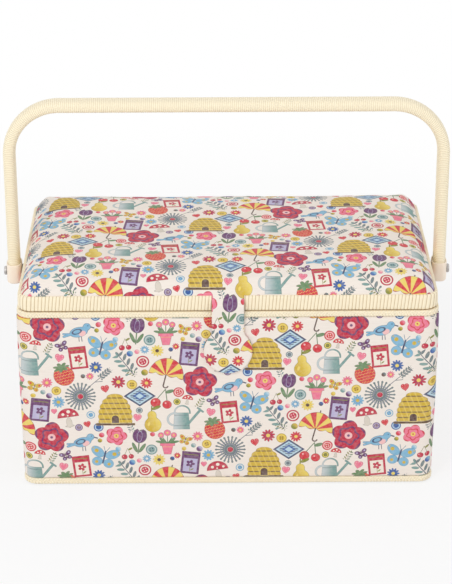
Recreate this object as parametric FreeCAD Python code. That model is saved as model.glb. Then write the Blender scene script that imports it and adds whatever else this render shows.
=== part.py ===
# A fabric-covered sewing box: a board carcase with a padded cover, a hinged padded lid with a
# closure tab, a wrapped carrying handle and a compartment tray that slides on two ledges.
# Millimetres, +Z up, origin under the middle of the base, front of the box towards -Y.
import FreeCAD, Part
import math
import os

Vector = FreeCAD.Vector
UP = Vector(0, 0, 1)
RIGHT = Vector(1, 0, 0)
BACK = Vector(0, 1, 0)
ORIGIN = Vector(0, 0, 0)

# Overall size of the body, measured over its cover at the rim
body_width = 380.0
body_depth = 229.0
seam_height = 176.0
body_corner_radius = 14.0

# Clearances shared by the pieces that fit together
lid_gap = 0.4
moving_gap = 0.4
seat_gap = 0.1
running_gap = 0.05
cut_overrun = 4.0
flat_tolerance = 0.001

# Carcase boards, base and lining
board_thickness = 6.0
rabbet_depth = 2.0
base_board_thickness = 5.0
base_sheet_thickness = 1.5
base_sheet_inset = 1.5
lining_thickness = 1.0
lining_drop = 1.5
lining_corner_radius = 4.0

# Padded cover of the body, thinner where it is pulled tight at the foot
cover_top_thickness = 3.2
cover_foot_thickness = 1.8

# Braid trims round the foot and the rim of the body
base_trim_height = 6.4
base_trim_thickness = 2.6
base_trim_lift = 0.6
rim_trim_height = 6.0
rim_trim_thickness = 2.8
trim_rounding = 1.1

# Lid frame, board and whipped trim
lid_inset = 2.0
lid_corner_radius = 13.0
lid_trim_thickness = 3.0
lid_trim_height = 13.0
lid_trim_rounding = 1.4
lid_rim_thickness = 6.0
lid_rim_height = 11.0
lid_board_thickness = 3.0

# Lid pad and its cover: an upright edge, a rolled shoulder and a slow crown to the level middle
lid_fabric_thickness = 1.2
pad_edge_height = 4.5
shoulder_rise = 9.0
shoulder_run = 11.5
crown_rise = 2.6
crown_run = 64.0
shoulder_steps = 4
crown_steps = 2
pad_corner_growth_share = 0.3

# Lining panel, pocket and pin cushion inside the lid
panel_thickness = 3.0
panel_gap = 0.5
pocket_side_gap = 28.5
pocket_depth = 92.0
pocket_back_gap = 3.0
pocket_height = 7.0
pocket_wall = 1.2
pocket_corner_radius = 12.0
elastic_width = 8.0
elastic_thickness = 1.2
cushion_radius = 36.0
cushion_height = 7.4
cushion_edge_height = 2.6
cushion_front_gap = 18.0
cushion_steps = 4

# Closure tab: neck, disc, stiffener, magnet and the catch plate behind the cover
tab_thickness = 3.2
tab_neck_width = 29.0
tab_disc_radius = 22.0
tab_disc_drop = 38.0
tab_flare_radius = 8.0
tab_axis_rise = 1.0
tab_border = 2.6
stiffener_thickness = 0.8
magnet_radius = 8.0
magnet_thickness = 1.0
catch_radius = 9.0
catch_thickness = 1.5

# Carrying handle: oval core and wrap, end caps, bushes and screws
pivot_margin = 0.25
handle_rise = 163.5
handle_corner_radius = 47.0
core_width = 7.0
core_breadth = 14.0
wrap_width = 12.0
wrap_breadth = 20.0
wrap_start = 5.4
cap_width = 14.4
cap_breadth = 22.4
cap_rise = 8.0
cap_drop = 12.8
cap_foot_rounding = 2.8
cap_top_chamfer = 0.5
core_drop = 9.0
bush_radius = 3.8
bush_flange_radius = 6.4
bush_flange_thickness = 1.8
screw_radius = 2.0
screw_head_radius = 4.2
screw_head_height = 2.2
screw_slot_width = 1.0
screw_slot_depth = 0.9
screw_tail = 1.4
washer_radius = 6.5
washer_thickness = 1.2
nut_radius = 4.0
nut_height = 3.2

# Two butt hinges on the back
hinge_spacing = 210.0
hinge_width = 40.0
knuckle_count = 5
knuckle_radius = 2.5
knuckle_gap = 0.15
leaf_thickness = 1.2
body_leaf_height = 27.0
lid_leaf_height = 10.5
leaf_corner_radius = 3.0
hinge_pin_radius = 1.2
hinge_pin_head_radius = 2.0
hinge_pin_head_height = 0.8
rivet_spacing = 24.0
rivet_radius = 1.3
rivet_head_radius = 2.6
rivet_head_height = 1.0
rivet_head_chamfer = 0.6
rivet_depth = 4.0
body_rivet_drop = 19.0
lid_rivet_rise = 8.0

# Tray and the ledges that it slides on
ledge_width = 10.0
ledge_height = 12.0
ledge_rounding = 5.0
tray_depth = 135.0
tray_height = 38.0
tray_side_gap = 1.2
tray_washer_gap = 2.9
tray_wall = 2.0
tray_floor = 2.0
tray_draft = 2.5
tray_corner_radius = 8.0
cell_draft = 1.2
cell_corner_radius = 5.0
cell_foot_radius = 3.6
notch_radius = 13.0
tray_row_shares = (0.46, 0.54)
front_row_shares = (0.62, 0.38)
back_row_shares = (0.25, 0.25, 0.25, 0.25)

# Places worked out from the sizes above
board_half_x = body_width / 2 - cover_top_thickness
board_half_y = body_depth / 2 - cover_top_thickness
board_radius = body_corner_radius - cover_top_thickness
wall_low = base_sheet_thickness
wall_top = seam_height - lid_gap / 2
inner_half_x = board_half_x - board_thickness
inner_half_y = board_half_y - board_thickness
lined_half_x = inner_half_x - lining_thickness
lined_half_y = inner_half_y - lining_thickness
floor_top = wall_low + base_board_thickness
cover_low = base_trim_lift + base_trim_height
cover_high = wall_top - rim_trim_height

lid_low = seam_height + lid_gap / 2
lid_half_x = body_width / 2 - lid_inset
lid_half_y = body_depth / 2 - lid_inset
rim_half_x = lid_half_x - lid_trim_thickness
rim_half_y = lid_half_y - lid_trim_thickness
rim_radius = lid_corner_radius - lid_trim_thickness
lid_rim_top = lid_low + lid_rim_height
lid_board_top = lid_rim_top + lid_board_thickness
lid_trim_top = lid_low + lid_trim_height
panel_half_x = rim_half_x - lid_rim_thickness - panel_gap
panel_half_y = rim_half_y - lid_rim_thickness - panel_gap
panel_low = lid_rim_top - panel_thickness
pocket_width = 2 * (panel_half_x - pocket_side_gap)

tab_axis_y = -(body_depth / 2 + moving_gap + tab_thickness / 2)
tab_axis_z = seam_height + tab_axis_rise
tab_disc_z = seam_height - tab_disc_drop

pivot_height = cover_high - screw_radius - running_gap - pivot_margin
cap_inner_x = body_width / 2 + moving_gap + bush_flange_thickness + moving_gap
leg_x = cap_inner_x + cap_width / 2
cap_outer_x = cap_inner_x + cap_width
bar_height = pivot_height + handle_rise

hinge_leaf_y = body_depth / 2 + seat_gap
hinge_axis_y = hinge_leaf_y + knuckle_radius
hinge_axis_z = seam_height

tray_half_x = lined_half_x - tray_side_gap
tray_back = lined_half_y - tray_side_gap
tray_front = tray_back - tray_depth
tray_top = pivot_height - washer_radius - tray_washer_gap
tray_low = tray_top - tray_height
ledge_top = tray_low - seat_gap


# Basic shapes
def outline(x_half, y_half, radius, z, x_mid=0, y_mid=0):
    """Rounded rectangle at one height, as four quarter arcs joined by four lines."""
    edges = []
    last = None
    first = None
    for quarter, (side_x, side_y) in enumerate(((1, -1), (1, 1), (-1, 1), (-1, -1))):
        centre = Vector(x_mid + side_x * (x_half - radius), y_mid + side_y * (y_half - radius), z)
        angles = [math.radians(90 * (quarter - 1) + step) for step in (0, 45, 90)]
        start, middle, end = [
            centre + Vector(radius * math.cos(angle), radius * math.sin(angle), 0) for angle in angles
        ]
        if last is not None:
            edges.append(Part.LineSegment(last, start).toShape())
        else:
            first = start
        edges.append(Part.Arc(start, middle, end).toShape())
        last = end
    edges.append(Part.LineSegment(last, first).toShape())
    return Part.Wire(edges)


def block(x_half, y_half, radius, low, high, x_mid=0, y_mid=0):
    """Upright block with rounded corners."""
    face = Part.Face(outline(x_half, y_half, radius, low, x_mid, y_mid))
    return face.extrude(UP * (high - low))


def slab(x_low, x_high, y_low, y_high, z_low, z_high):
    """Plain block between two corners."""
    return Part.makeBox(x_high - x_low, y_high - y_low, z_high - z_low, Vector(x_low, y_low, z_low))


def rod_x(radius, x_low, x_high, y, z):
    """Round bar along X."""
    return Part.makeCylinder(radius, x_high - x_low, Vector(x_low, y, z), RIGHT)


def rod_y(radius, x, y_low, y_high, z):
    """Round bar along Y."""
    return Part.makeCylinder(radius, y_high - y_low, Vector(x, y_low, z), BACK)


def level_edges(shape):
    """Edges of a shape that lie level."""
    return [edge for edge in shape.Edges if edge.BoundBox.ZLength < flat_tolerance]


def band(x_half, y_half, radius, thickness, low, high, rounding):
    """Closed trim band with its outer edges rounded over."""
    outer = block(x_half, y_half, radius, low, high)
    outer = outer.makeFillet(rounding, level_edges(outer))
    inside = block(
        x_half - thickness, y_half - thickness, radius - thickness, low - cut_overrun, high + cut_overrun
    )
    return outer.cut(inside)


def mirrored(shape):
    """The same shape on the other side of the box."""
    return shape.mirror(ORIGIN, RIGHT)


def pair(shape):
    """A shape and its mirror image, as two separate solids."""
    return Part.makeCompound([shape, mirrored(shape)])


def save(name, shape):
    """Write one piece to its file."""
    shape.exportStep("parts/" + name + ".step")


# Holes that several pieces share
def screw_hole():
    """Hole for the right-hand handle screw through the wall."""
    return rod_x(screw_radius + running_gap, lined_half_x - cut_overrun, body_width / 2 + cut_overrun,
                 0, pivot_height)


def screw_holes():
    """Both handle screw holes."""
    return pair(screw_hole())


def rivet_places(height):
    """Places of the hinge rivets at one height, as (x, z)."""
    return [
        (side * hinge_spacing / 2 + offset * rivet_spacing / 2, height)
        for side in (-1, 1)
        for offset in (-1, 1)
    ]


body_rivet_places = rivet_places(hinge_axis_z - body_rivet_drop)
lid_rivet_places = rivet_places(hinge_axis_z + lid_rivet_rise)


def rivet_holes(places, y_low, y_high):
    """Holes for a set of rivets."""
    return Part.makeCompound([rod_y(rivet_radius, x, y_low, y_high, z) for x, z in places])


# Carcase
def carcase_block():
    """Rounded outside of the carcase, which trims every wall board."""
    return block(board_half_x, board_half_y, board_radius, wall_low, wall_top)


def side_blank():
    """Right-hand side board before its corners are rounded, with ends that enter the rabbets."""
    reach = inner_half_y + rabbet_depth
    return slab(inner_half_x, board_half_x, -reach, reach, wall_low, wall_top)


def front_board():
    """Front wall, rabbeted for the sides and bored for the catch plate."""
    blank = slab(-board_half_x, board_half_x, -board_half_y, -inner_half_y, wall_low, wall_top)
    board = blank.common(carcase_block()).cut(pair(side_blank()))
    return board.cut(catch_plate())


def back_board():
    """Back wall, rabbeted for the sides and drilled for the hinge rivets."""
    blank = slab(-board_half_x, board_half_x, inner_half_y, board_half_y, wall_low, wall_top)
    board = blank.common(carcase_block()).cut(pair(side_blank()))
    return board.cut(rivet_holes(body_rivet_places, board_half_y - rivet_depth, board_half_y + cut_overrun))


def side_board():
    """Right-hand wall, drilled for the handle screw."""
    return side_blank().common(carcase_block()).cut(screw_hole())


def base_board():
    """Floor board between the four walls."""
    return slab(-inner_half_x, inner_half_x, -inner_half_y, inner_half_y, wall_low, floor_top)


def base_sheet():
    """Sheet that closes the underside and rests on the table."""
    return block(board_half_x - base_sheet_inset, board_half_y - base_sheet_inset,
                 board_radius - base_sheet_inset, 0, base_sheet_thickness)


def body_cover():
    """Padded fabric skin round the four walls, thicker at the rim than at the foot."""
    sections = []
    for thickness, z in ((cover_foot_thickness, cover_low), (cover_top_thickness, cover_high)):
        sections.append(outline(board_half_x + thickness, board_half_y + thickness,
                                board_radius + thickness, z))
    skin = Part.makeLoft(sections, True, True).cut(carcase_block())
    skin = skin.cut(rivet_holes(body_rivet_places, inner_half_y, board_half_y + cut_overrun))
    return skin.cut(screw_holes())


def base_trim():
    """Braid round the foot of the walls."""
    return band(board_half_x + base_trim_thickness, board_half_y + base_trim_thickness,
                board_radius + base_trim_thickness, base_trim_thickness,
                base_trim_lift, cover_low, trim_rounding).cut(carcase_block())


def rim_trim():
    """Braid round the rim of the walls."""
    ring = band(board_half_x + rim_trim_thickness, board_half_y + rim_trim_thickness,
                board_radius + rim_trim_thickness, rim_trim_thickness,
                cover_high, wall_top, trim_rounding)
    return ring.cut(screw_holes())


def body_lining():
    """Fabric tub that lines the walls and the floor."""
    top = wall_top - lining_drop
    outer = block(inner_half_x, inner_half_y, lining_corner_radius, floor_top, top)
    inside = block(lined_half_x, lined_half_y, lining_corner_radius - lining_thickness,
                   floor_top + lining_thickness, top + cut_overrun)
    return outer.cut(inside).cut(screw_holes())


def tray_ledge():
    """Right-hand ledge under the tray, a strip with its lower inner edge rounded."""
    x_low = lined_half_x - ledge_width
    low = ledge_top - ledge_height
    reach = lined_half_y - lining_corner_radius
    strip = slab(x_low, lined_half_x, -reach, reach, low, ledge_top)
    corner = Vector(x_low, 0, low)
    edges = [edge for edge in level_edges(strip) if (edge.CenterOfMass - corner).Length < flat_tolerance]
    return strip.makeFillet(ledge_rounding, edges)


# Tray
def cell_spans(shares, low, high):
    """Divide a length into cells with one wall between neighbours."""
    room = high - low - tray_wall * (len(shares) - 1)
    spans = []
    start = low
    for share in shares:
        spans.append((start, start + room * share))
        start = start + room * share + tray_wall
    return spans


def cell(x_span, y_span):
    """Drafted hollow of one compartment."""
    x_mid = sum(x_span) / 2
    y_mid = sum(y_span) / 2
    x_half = (x_span[1] - x_span[0]) / 2
    y_half = (y_span[1] - y_span[0]) / 2
    growth = cell_draft * cut_overrun / (tray_height - tray_floor)
    foot = outline(x_half - cell_draft, y_half - cell_draft, cell_foot_radius, tray_low + tray_floor,
                   x_mid, y_mid)
    mouth = outline(x_half + growth, y_half + growth, cell_corner_radius, tray_top + cut_overrun,
                    x_mid, y_mid)
    return Part.makeLoft([foot, mouth], True, True)


def tray():
    """Moulded tray with two rows of compartments and finger notches in its long walls."""
    y_mid = (tray_back + tray_front) / 2
    foot = outline(tray_half_x - tray_draft, tray_depth / 2 - tray_draft, tray_corner_radius, tray_low,
                   0, y_mid)
    mouth = outline(tray_half_x, tray_depth / 2, tray_corner_radius, tray_top, 0, y_mid)
    body = Part.makeLoft([foot, mouth], True, True)
    edge = tray_wall + tray_draft
    rows = cell_spans(tray_row_shares, tray_front + edge, tray_back - edge)
    for row, shares in zip(rows, (front_row_shares, back_row_shares)):
        for column in cell_spans(shares, edge - tray_half_x, tray_half_x - edge):
            body = body.cut(cell(column, row))
    for y_low, y_high in ((tray_front - cut_overrun, rows[0][0] + cut_overrun),
                          (rows[1][1] - cut_overrun, tray_back + cut_overrun)):
        body = body.cut(rod_y(notch_radius, 0, y_low, y_high, tray_top))
    return body


# Lid
def lid_block(low, high):
    """Rounded outside of the lid frame."""
    return block(rim_half_x, rim_half_y, rim_radius, low, high)


def lid_rim_long(side):
    """Front or back strip of the lid frame; side is -1 for the front."""
    y_near, y_far = sorted((side * rim_half_y, side * (rim_half_y - lid_rim_thickness)))
    strip = slab(-rim_half_x, rim_half_x, y_near, y_far, lid_low, lid_rim_top)
    strip = strip.common(lid_block(lid_low, lid_rim_top))
    return strip.cut(rivet_holes(lid_rivet_places, rim_half_y - rivet_depth, rim_half_y + cut_overrun))


def lid_rim_side():
    """Right-hand strip of the lid frame, between the long strips."""
    reach = rim_half_y - lid_rim_thickness
    strip = slab(rim_half_x - lid_rim_thickness, rim_half_x, -reach, reach, lid_low, lid_rim_top)
    return strip.common(lid_block(lid_low, lid_rim_top))


def lid_board():
    """Stiff board on the lid frame, under the pad."""
    return lid_block(lid_rim_top, lid_board_top)


def lid_trim():
    """Whipped band round the lid frame, open at the front where the tab comes through."""
    ring = band(lid_half_x, lid_half_y, lid_corner_radius, lid_trim_thickness,
                lid_low, lid_trim_top, lid_trim_rounding)
    half_gap = tab_neck_width / 2 + moving_gap
    gap = slab(-half_gap, half_gap, -lid_half_y - cut_overrun, -rim_half_y + flat_tolerance,
               lid_low - cut_overrun, lid_trim_top + cut_overrun)
    holes = rivet_holes(lid_rivet_places, rim_half_y - rivet_depth, lid_half_y + cut_overrun)
    return ring.cut(gap).cut(holes)


def pad_profile():
    """Side view of the lid pad, as pairs of height over the trim and inset from the edge."""
    pairs = [(pad_edge_height, 0)]
    for step in range(1, shoulder_steps + 1):
        angle = math.pi / 2 * step / shoulder_steps
        pairs.append((pad_edge_height + shoulder_rise * math.sin(angle),
                      shoulder_run * (1 - math.cos(angle))))
    for step in range(1, crown_steps + 1):
        left = 1 - step / crown_steps
        pairs.append((pad_edge_height + shoulder_rise + crown_rise * (1 - left ** 2),
                      shoulder_run + crown_run * (1 - left)))
    return pairs


def crowned_pad(thickness, low):
    """Lid pad grown by a thickness, lofted from a level foot up to its crown."""
    base = lid_trim_top + seat_gap + thickness
    sections = [outline(rim_half_x + thickness, rim_half_y + thickness, rim_radius + thickness, low)]
    for height, inset in pad_profile():
        sections.append(outline(rim_half_x + thickness - inset, rim_half_y + thickness - inset,
                                rim_radius + thickness + inset * pad_corner_growth_share, base + height))
    return Part.makeLoft(sections, True, True)


def lid_pad():
    """Foam pad on the lid board."""
    return crowned_pad(-seat_gap, lid_board_top)


def lid_cover():
    """Printed fabric over the pad, with its edge on the trim."""
    inside = crowned_pad(0, lid_board_top).fuse(lid_block(lid_rim_top, lid_board_top))
    return crowned_pad(lid_fabric_thickness, lid_trim_top + seat_gap).cut(inside)


def lid_lining():
    """Padded lining panel inside the lid frame."""
    return block(panel_half_x, panel_half_y, lining_corner_radius, panel_low, lid_rim_top)


def pocket_block(inset, low, high, front):
    """Outline of the pocket, drawn in by an inset, from a front line back to its seam."""
    back = panel_half_y - pocket_back_gap - inset
    y_mid = (front + back) / 2
    return block(pocket_width / 2 - inset, (back - front) / 2, pocket_corner_radius - inset, low, high,
                 0, y_mid)


def lid_pocket():
    """Pocket on the lining panel, sewn along three sides and open towards the front."""
    front = panel_half_y - pocket_back_gap - pocket_depth
    shell = pocket_block(0, panel_low - pocket_height, panel_low, front - pocket_corner_radius)
    shell = shell.cut(pocket_block(pocket_wall, panel_low - pocket_height + pocket_wall,
                                   panel_low + cut_overrun, front - pocket_corner_radius - cut_overrun))
    mouth = slab(-pocket_width, pocket_width, front - pocket_depth, front,
                 panel_low - pocket_height - cut_overrun, panel_low + cut_overrun)
    return shell.cut(mouth)


def pocket_elastic():
    """Elastic band along the mouth of the pocket."""
    front = panel_half_y - pocket_back_gap - pocket_depth
    low = panel_low - pocket_height - elastic_thickness
    return slab(-pocket_width / 2, pocket_width / 2, front, front + elastic_width,
                low, low + elastic_thickness)


def pin_cushion():
    """Round pin cushion sewn to the lining panel: upright edge and a domed face."""
    y_mid = -panel_half_y + cushion_front_gap + cushion_radius
    edge_low = panel_low - cushion_edge_height
    sag = cushion_height - cushion_edge_height
    points = [Vector(0, 0, panel_low), Vector(cushion_radius, 0, panel_low)]
    for step in range(cushion_steps + 1):
        share = step / cushion_steps
        points.append(Vector(cushion_radius * (1 - share), 0, edge_low - sag * (1 - (1 - share) ** 2)))
    profile = Part.Face(Part.makePolygon(points + points[:1]))
    return profile.revolve(ORIGIN, UP, 360).translated(BACK * y_mid)


# Closure tab
def tab_face(border, top):
    """Paddle outline of the tab, drawn in by a border: a neck that flares into a disc."""
    half_neck = tab_neck_width / 2 - border
    radius = tab_disc_radius - border
    flare = tab_flare_radius + border
    flare_x = half_neck + flare
    flare_rise = math.sqrt((radius + flare) ** 2 - flare_x ** 2)
    meet = Vector(flare_x, 0, flare_rise) * (radius / (radius + flare))
    lean = math.atan2(flare_rise, flare_x)
    bend = Vector(flare_x - flare * math.cos(lean / 2), 0, flare_rise - flare * math.sin(lean / 2))

    def at(point, side):
        return Vector(side * point.x, tab_axis_y, tab_disc_z + point.z)

    neck = Vector(half_neck, 0, flare_rise)
    head = Vector(half_neck, 0, top - tab_disc_z)
    foot = Vector(0, 0, -radius)
    widest = Vector(radius, 0, 0)
    edges = [Part.LineSegment(at(head, -1), at(head, 1)).toShape()]
    for side in (1, -1):
        edges.append(Part.LineSegment(at(head, side), at(neck, side)).toShape())
        edges.append(Part.Arc(at(neck, side), at(bend, side), at(meet, side)).toShape())
        edges.append(Part.Arc(at(meet, side), at(widest, side), at(foot, side)).toShape())
    return Part.Face(Part.Wire(Part.__sortEdges__(edges)))


def tab_layer(border, top, y_low, y_high):
    """One layer of the tab between two depths measured from its middle plane."""
    face = tab_face(border, top)
    return face.translated(BACK * y_low).extrude(BACK * (y_high - y_low))


def tab_stiffener():
    """Stiff card inside the tab."""
    half = stiffener_thickness / 2
    return tab_layer(tab_border, tab_axis_z - tab_thickness, -half, half)


def tab_magnet():
    """Flat magnet behind the stiffener, in the disc of the tab."""
    y_low = tab_axis_y + stiffener_thickness / 2
    return rod_y(magnet_radius, 0, y_low, y_low + magnet_thickness, tab_disc_z)


def closure_tab():
    """Fabric tab, folded round its stiffener and magnet, with a rolled upper edge."""
    half = tab_thickness / 2
    body = tab_layer(0, tab_axis_z, -half, half)
    roll = rod_x(half, -tab_neck_width / 2, tab_neck_width / 2, tab_axis_y, tab_axis_z)
    return body.fuse(roll).removeSplitter().cut(tab_stiffener()).cut(tab_magnet())


def tab_root():
    """Fixed upper end of the tab, sewn to the lid frame in the gap of its trim."""
    low = tab_axis_z + tab_thickness / 2 + moving_gap
    face_y = tab_axis_y - tab_thickness / 2
    points = [
        Vector(0, -rim_half_y, low),
        Vector(0, face_y, low),
        Vector(0, face_y, low + tab_thickness),
        Vector(0, -lid_half_y, lid_trim_top),
        Vector(0, -rim_half_y, lid_trim_top),
    ]
    face = Part.Face(Part.makePolygon(points + points[:1]))
    return face.translated(RIGHT * (-tab_neck_width / 2)).extrude(RIGHT * tab_neck_width)


def catch_plate():
    """Steel disc let into the front wall behind the cover."""
    return rod_y(catch_radius, 0, -board_half_y, -board_half_y + catch_thickness, tab_disc_z)


# Handle
def oval(width, breadth, x, z):
    """Level oval of four arcs, width along X and the longer breadth along Y."""
    half_width = width / 2
    half_breadth = breadth / 2
    end_radius = half_width ** 2 / half_breadth
    reach = half_breadth - end_radius
    side_radius = (reach ** 2 + half_width ** 2 - end_radius ** 2) / (2 * (half_width - end_radius))
    offset = side_radius - half_width
    stretch = side_radius / (side_radius - end_radius)
    meet_x = offset * stretch - offset
    meet_y = reach * stretch

    def at(point_x, point_y):
        return Vector(x + point_x, point_y, z)

    edges = []
    for side in (1, -1):
        edges.append(Part.Arc(at(side * meet_x, -side * meet_y), at(side * half_width, 0),
                              at(side * meet_x, side * meet_y)).toShape())
        edges.append(Part.Arc(at(side * meet_x, side * meet_y), at(0, side * half_breadth),
                              at(-side * meet_x, side * meet_y)).toShape())
    return Part.Wire(edges)


def oval_bar(width, breadth, x, low, high):
    """Upright bar of oval section."""
    return Part.Face(oval(width, breadth, x, low)).extrude(UP * (high - low))


def handle_bar(width, breadth, low):
    """Oval bar bent along the handle: a straight top between two quarter turns and two legs."""
    shoulder = bar_height - handle_corner_radius
    centre = Vector(leg_x - handle_corner_radius, 0, shoulder)
    section = Part.Face(oval(width, breadth, leg_x, shoulder))
    bend = section.revolve(centre, BACK, -90)
    leg = oval_bar(width, breadth, leg_x, low, shoulder)
    top = section.rotated(centre, BACK, -90).extrude(RIGHT * (-2 * centre.x))
    return top.fuse([bend, mirrored(bend), leg, mirrored(leg)]).removeSplitter()


def bush_hole():
    """Hole for the right-hand bush through the cap and the core."""
    return rod_x(bush_radius + running_gap, cap_inner_x - cut_overrun, cap_outer_x + cut_overrun,
                 0, pivot_height)


def handle_core():
    """Stiff bent bar inside the handle, bored for the bushes."""
    return handle_bar(core_width, core_breadth, pivot_height - core_drop).cut(pair(bush_hole()))


def handle_wrap():
    """Wound strip round the core, down to the end caps."""
    low = pivot_height + wrap_start
    inside = handle_bar(core_width, core_breadth, low - cut_overrun)
    return handle_bar(wrap_width, wrap_breadth, low).cut(inside)


def handle_cap():
    """Right-hand moulded end cap: a cup for the wrap, a socket for the core and a bore for the bush."""
    low = pivot_height - cap_drop
    high = pivot_height + cap_rise
    body = oval_bar(cap_width, cap_breadth, leg_x, low, high)
    rims = level_edges(body)
    body = body.makeFillet(cap_foot_rounding, [edge for edge in rims if edge.CenterOfMass.z < pivot_height])
    rims = [edge for edge in level_edges(body) if edge.CenterOfMass.z > pivot_height]
    body = body.makeChamfer(cap_top_chamfer, rims)
    cup = oval_bar(wrap_width + seat_gap, wrap_breadth + seat_gap, leg_x, pivot_height + wrap_start,
                   high + cut_overrun)
    socket = oval_bar(core_width + seat_gap, core_breadth + seat_gap, leg_x, pivot_height - core_drop,
                      high + cut_overrun)
    return body.cut(cup).cut(socket).cut(bush_hole())


def handle_bush():
    """Right-hand flanged bush: its flange spaces the cap from the wall, its barrel carries the cap."""
    flange_low = body_width / 2 + moving_gap
    barrel = rod_x(bush_radius, flange_low, cap_outer_x, 0, pivot_height)
    flange = rod_x(bush_flange_radius, flange_low, flange_low + bush_flange_thickness, 0, pivot_height)
    bore = rod_x(screw_radius + running_gap, flange_low - cut_overrun, cap_outer_x + cut_overrun,
                 0, pivot_height)
    return barrel.fuse(flange).removeSplitter().cut(bore)


nut_inner_x = lined_half_x - washer_thickness - nut_height


def handle_screw():
    """Right-hand slotted screw through bush and wall."""
    head_low = cap_outer_x + moving_gap
    shank = rod_x(screw_radius, nut_inner_x - screw_tail, head_low + screw_head_height / 2, 0, pivot_height)
    head = rod_x(screw_head_radius, head_low, head_low + screw_head_height, 0, pivot_height)
    rims = [edge for edge in head.Edges if edge.BoundBox.XMin > head_low + screw_head_height / 2]
    head = head.makeFillet(screw_head_height / 2, rims)
    slot = slab(head_low + screw_head_height - screw_slot_depth, head_low + screw_head_height + cut_overrun,
                -screw_head_radius - cut_overrun, screw_head_radius + cut_overrun,
                pivot_height - screw_slot_width / 2, pivot_height + screw_slot_width / 2)
    return shank.fuse(head).removeSplitter().cut(slot)


def screw_washer():
    """Right-hand washer inside the lined wall."""
    disc = rod_x(washer_radius, lined_half_x - washer_thickness, lined_half_x, 0, pivot_height)
    return disc.cut(screw_hole())


def screw_nut():
    """Right-hand hexagon nut inside the wall."""
    corners = [
        Vector(nut_inner_x, nut_radius * math.cos(math.radians(60 * step)),
               pivot_height + nut_radius * math.sin(math.radians(60 * step)))
        for step in range(7)
    ]
    body = Part.Face(Part.makePolygon(corners)).extrude(RIGHT * nut_height)
    bore = rod_x(screw_radius + running_gap, nut_inner_x - cut_overrun, lined_half_x, 0, pivot_height)
    return body.cut(bore)


# Hinges
def knuckle_spans(remainder):
    """X spans of the knuckles of one leaf: remainder 0 for the body's, 1 for the lid's."""
    pitch = hinge_width / knuckle_count
    low = hinge_spacing / 2 - hinge_width / 2
    return [
        (low + pitch * index + knuckle_gap / 2, low + pitch * (index + 1) - knuckle_gap / 2)
        for index in range(knuckle_count)
        if index % 2 == remainder
    ]


def knuckles(remainder, radius, reach):
    """Knuckle barrels of one leaf, grown along X by a reach."""
    bars = [
        rod_x(radius, low - reach, high + reach, hinge_axis_y, hinge_axis_z)
        for low, high in knuckle_spans(remainder)
    ]
    return Part.makeCompound(bars)


def leaf_plate(y_low, z_low, z_high):
    """Hinge plate with its two far corners rounded."""
    x_mid = hinge_spacing / 2
    x_low = x_mid - hinge_width / 2
    plate = slab(x_low, x_low + hinge_width, y_low, y_low + leaf_thickness, z_low, z_high)
    far_z = z_low if abs(z_low - hinge_axis_z) > abs(z_high - hinge_axis_z) else z_high
    edges = [
        edge for edge in plate.Edges
        if edge.BoundBox.YLength > leaf_thickness / 2 and abs(edge.CenterOfMass.z - far_z) < flat_tolerance
    ]
    return plate.makeFillet(leaf_corner_radius, edges)


def finish_leaf(leaf, remainder, places):
    """Give a leaf its knuckles, room for the other leaf's, its pin bore and its rivet holes."""
    leaf = leaf.cut(knuckles(1 - remainder, knuckle_radius + moving_gap, knuckle_gap))
    for barrel in knuckles(remainder, knuckle_radius, 0).Solids:
        leaf = leaf.fuse(barrel)
    x_mid = hinge_spacing / 2
    bore = rod_x(hinge_pin_radius + running_gap, x_mid - hinge_width, x_mid + hinge_width,
                 hinge_axis_y, hinge_axis_z)
    leaf = leaf.removeSplitter().cut(bore)
    return pair(leaf.cut(rivet_holes(places, lid_half_y - cut_overrun, hinge_axis_y + cut_overrun)))


def hinge_body_leaves():
    """Both lower leaves, flat on the back of the body."""
    plate = leaf_plate(hinge_leaf_y, hinge_axis_z - body_leaf_height, hinge_axis_z)
    return finish_leaf(plate, 0, body_rivet_places)


def hinge_lid_leaves():
    """Both upper leaves, flat on the lid trim, each with a step out to the knuckles."""
    y_low = lid_half_y + seat_gap
    step_low = hinge_axis_z + lid_gap
    plate = leaf_plate(y_low, step_low, step_low + lid_leaf_height)
    x_low = hinge_spacing / 2 - hinge_width / 2
    step = slab(x_low, x_low + hinge_width, y_low, hinge_axis_y, step_low, step_low + leaf_thickness)
    return finish_leaf(plate.fuse(step).removeSplitter(), 1, lid_rivet_places)


def hinge_pins():
    """Both hinge pins, headed at each end."""
    x_mid = hinge_spacing / 2
    half = hinge_width / 2 + knuckle_gap
    pin = rod_x(hinge_pin_radius, x_mid - half, x_mid + half, hinge_axis_y, hinge_axis_z)
    for x_low in (x_mid - half - hinge_pin_head_height, x_mid + half):
        x_high = x_low + hinge_pin_head_height
        pin = pin.fuse(rod_x(hinge_pin_head_radius, x_low, x_high, hinge_axis_y, hinge_axis_z))
    return pair(pin.removeSplitter())


def rivets(places, leaf_y, foot_y):
    """Rivets with bevelled heads through one pair of leaves."""
    solids = []
    face_y = leaf_y + leaf_thickness
    for x, z in places:
        shank = rod_y(rivet_radius - running_gap, x, foot_y, face_y + rivet_head_height / 2, z)
        head = rod_y(rivet_head_radius, x, face_y, face_y + rivet_head_height, z)
        rims = [edge for edge in head.Edges if edge.BoundBox.YMin > face_y + rivet_head_height / 2]
        head = head.makeChamfer(rivet_head_chamfer, rims)
        solids.append(shank.fuse(head).removeSplitter())
    return Part.makeCompound(solids)


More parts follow.
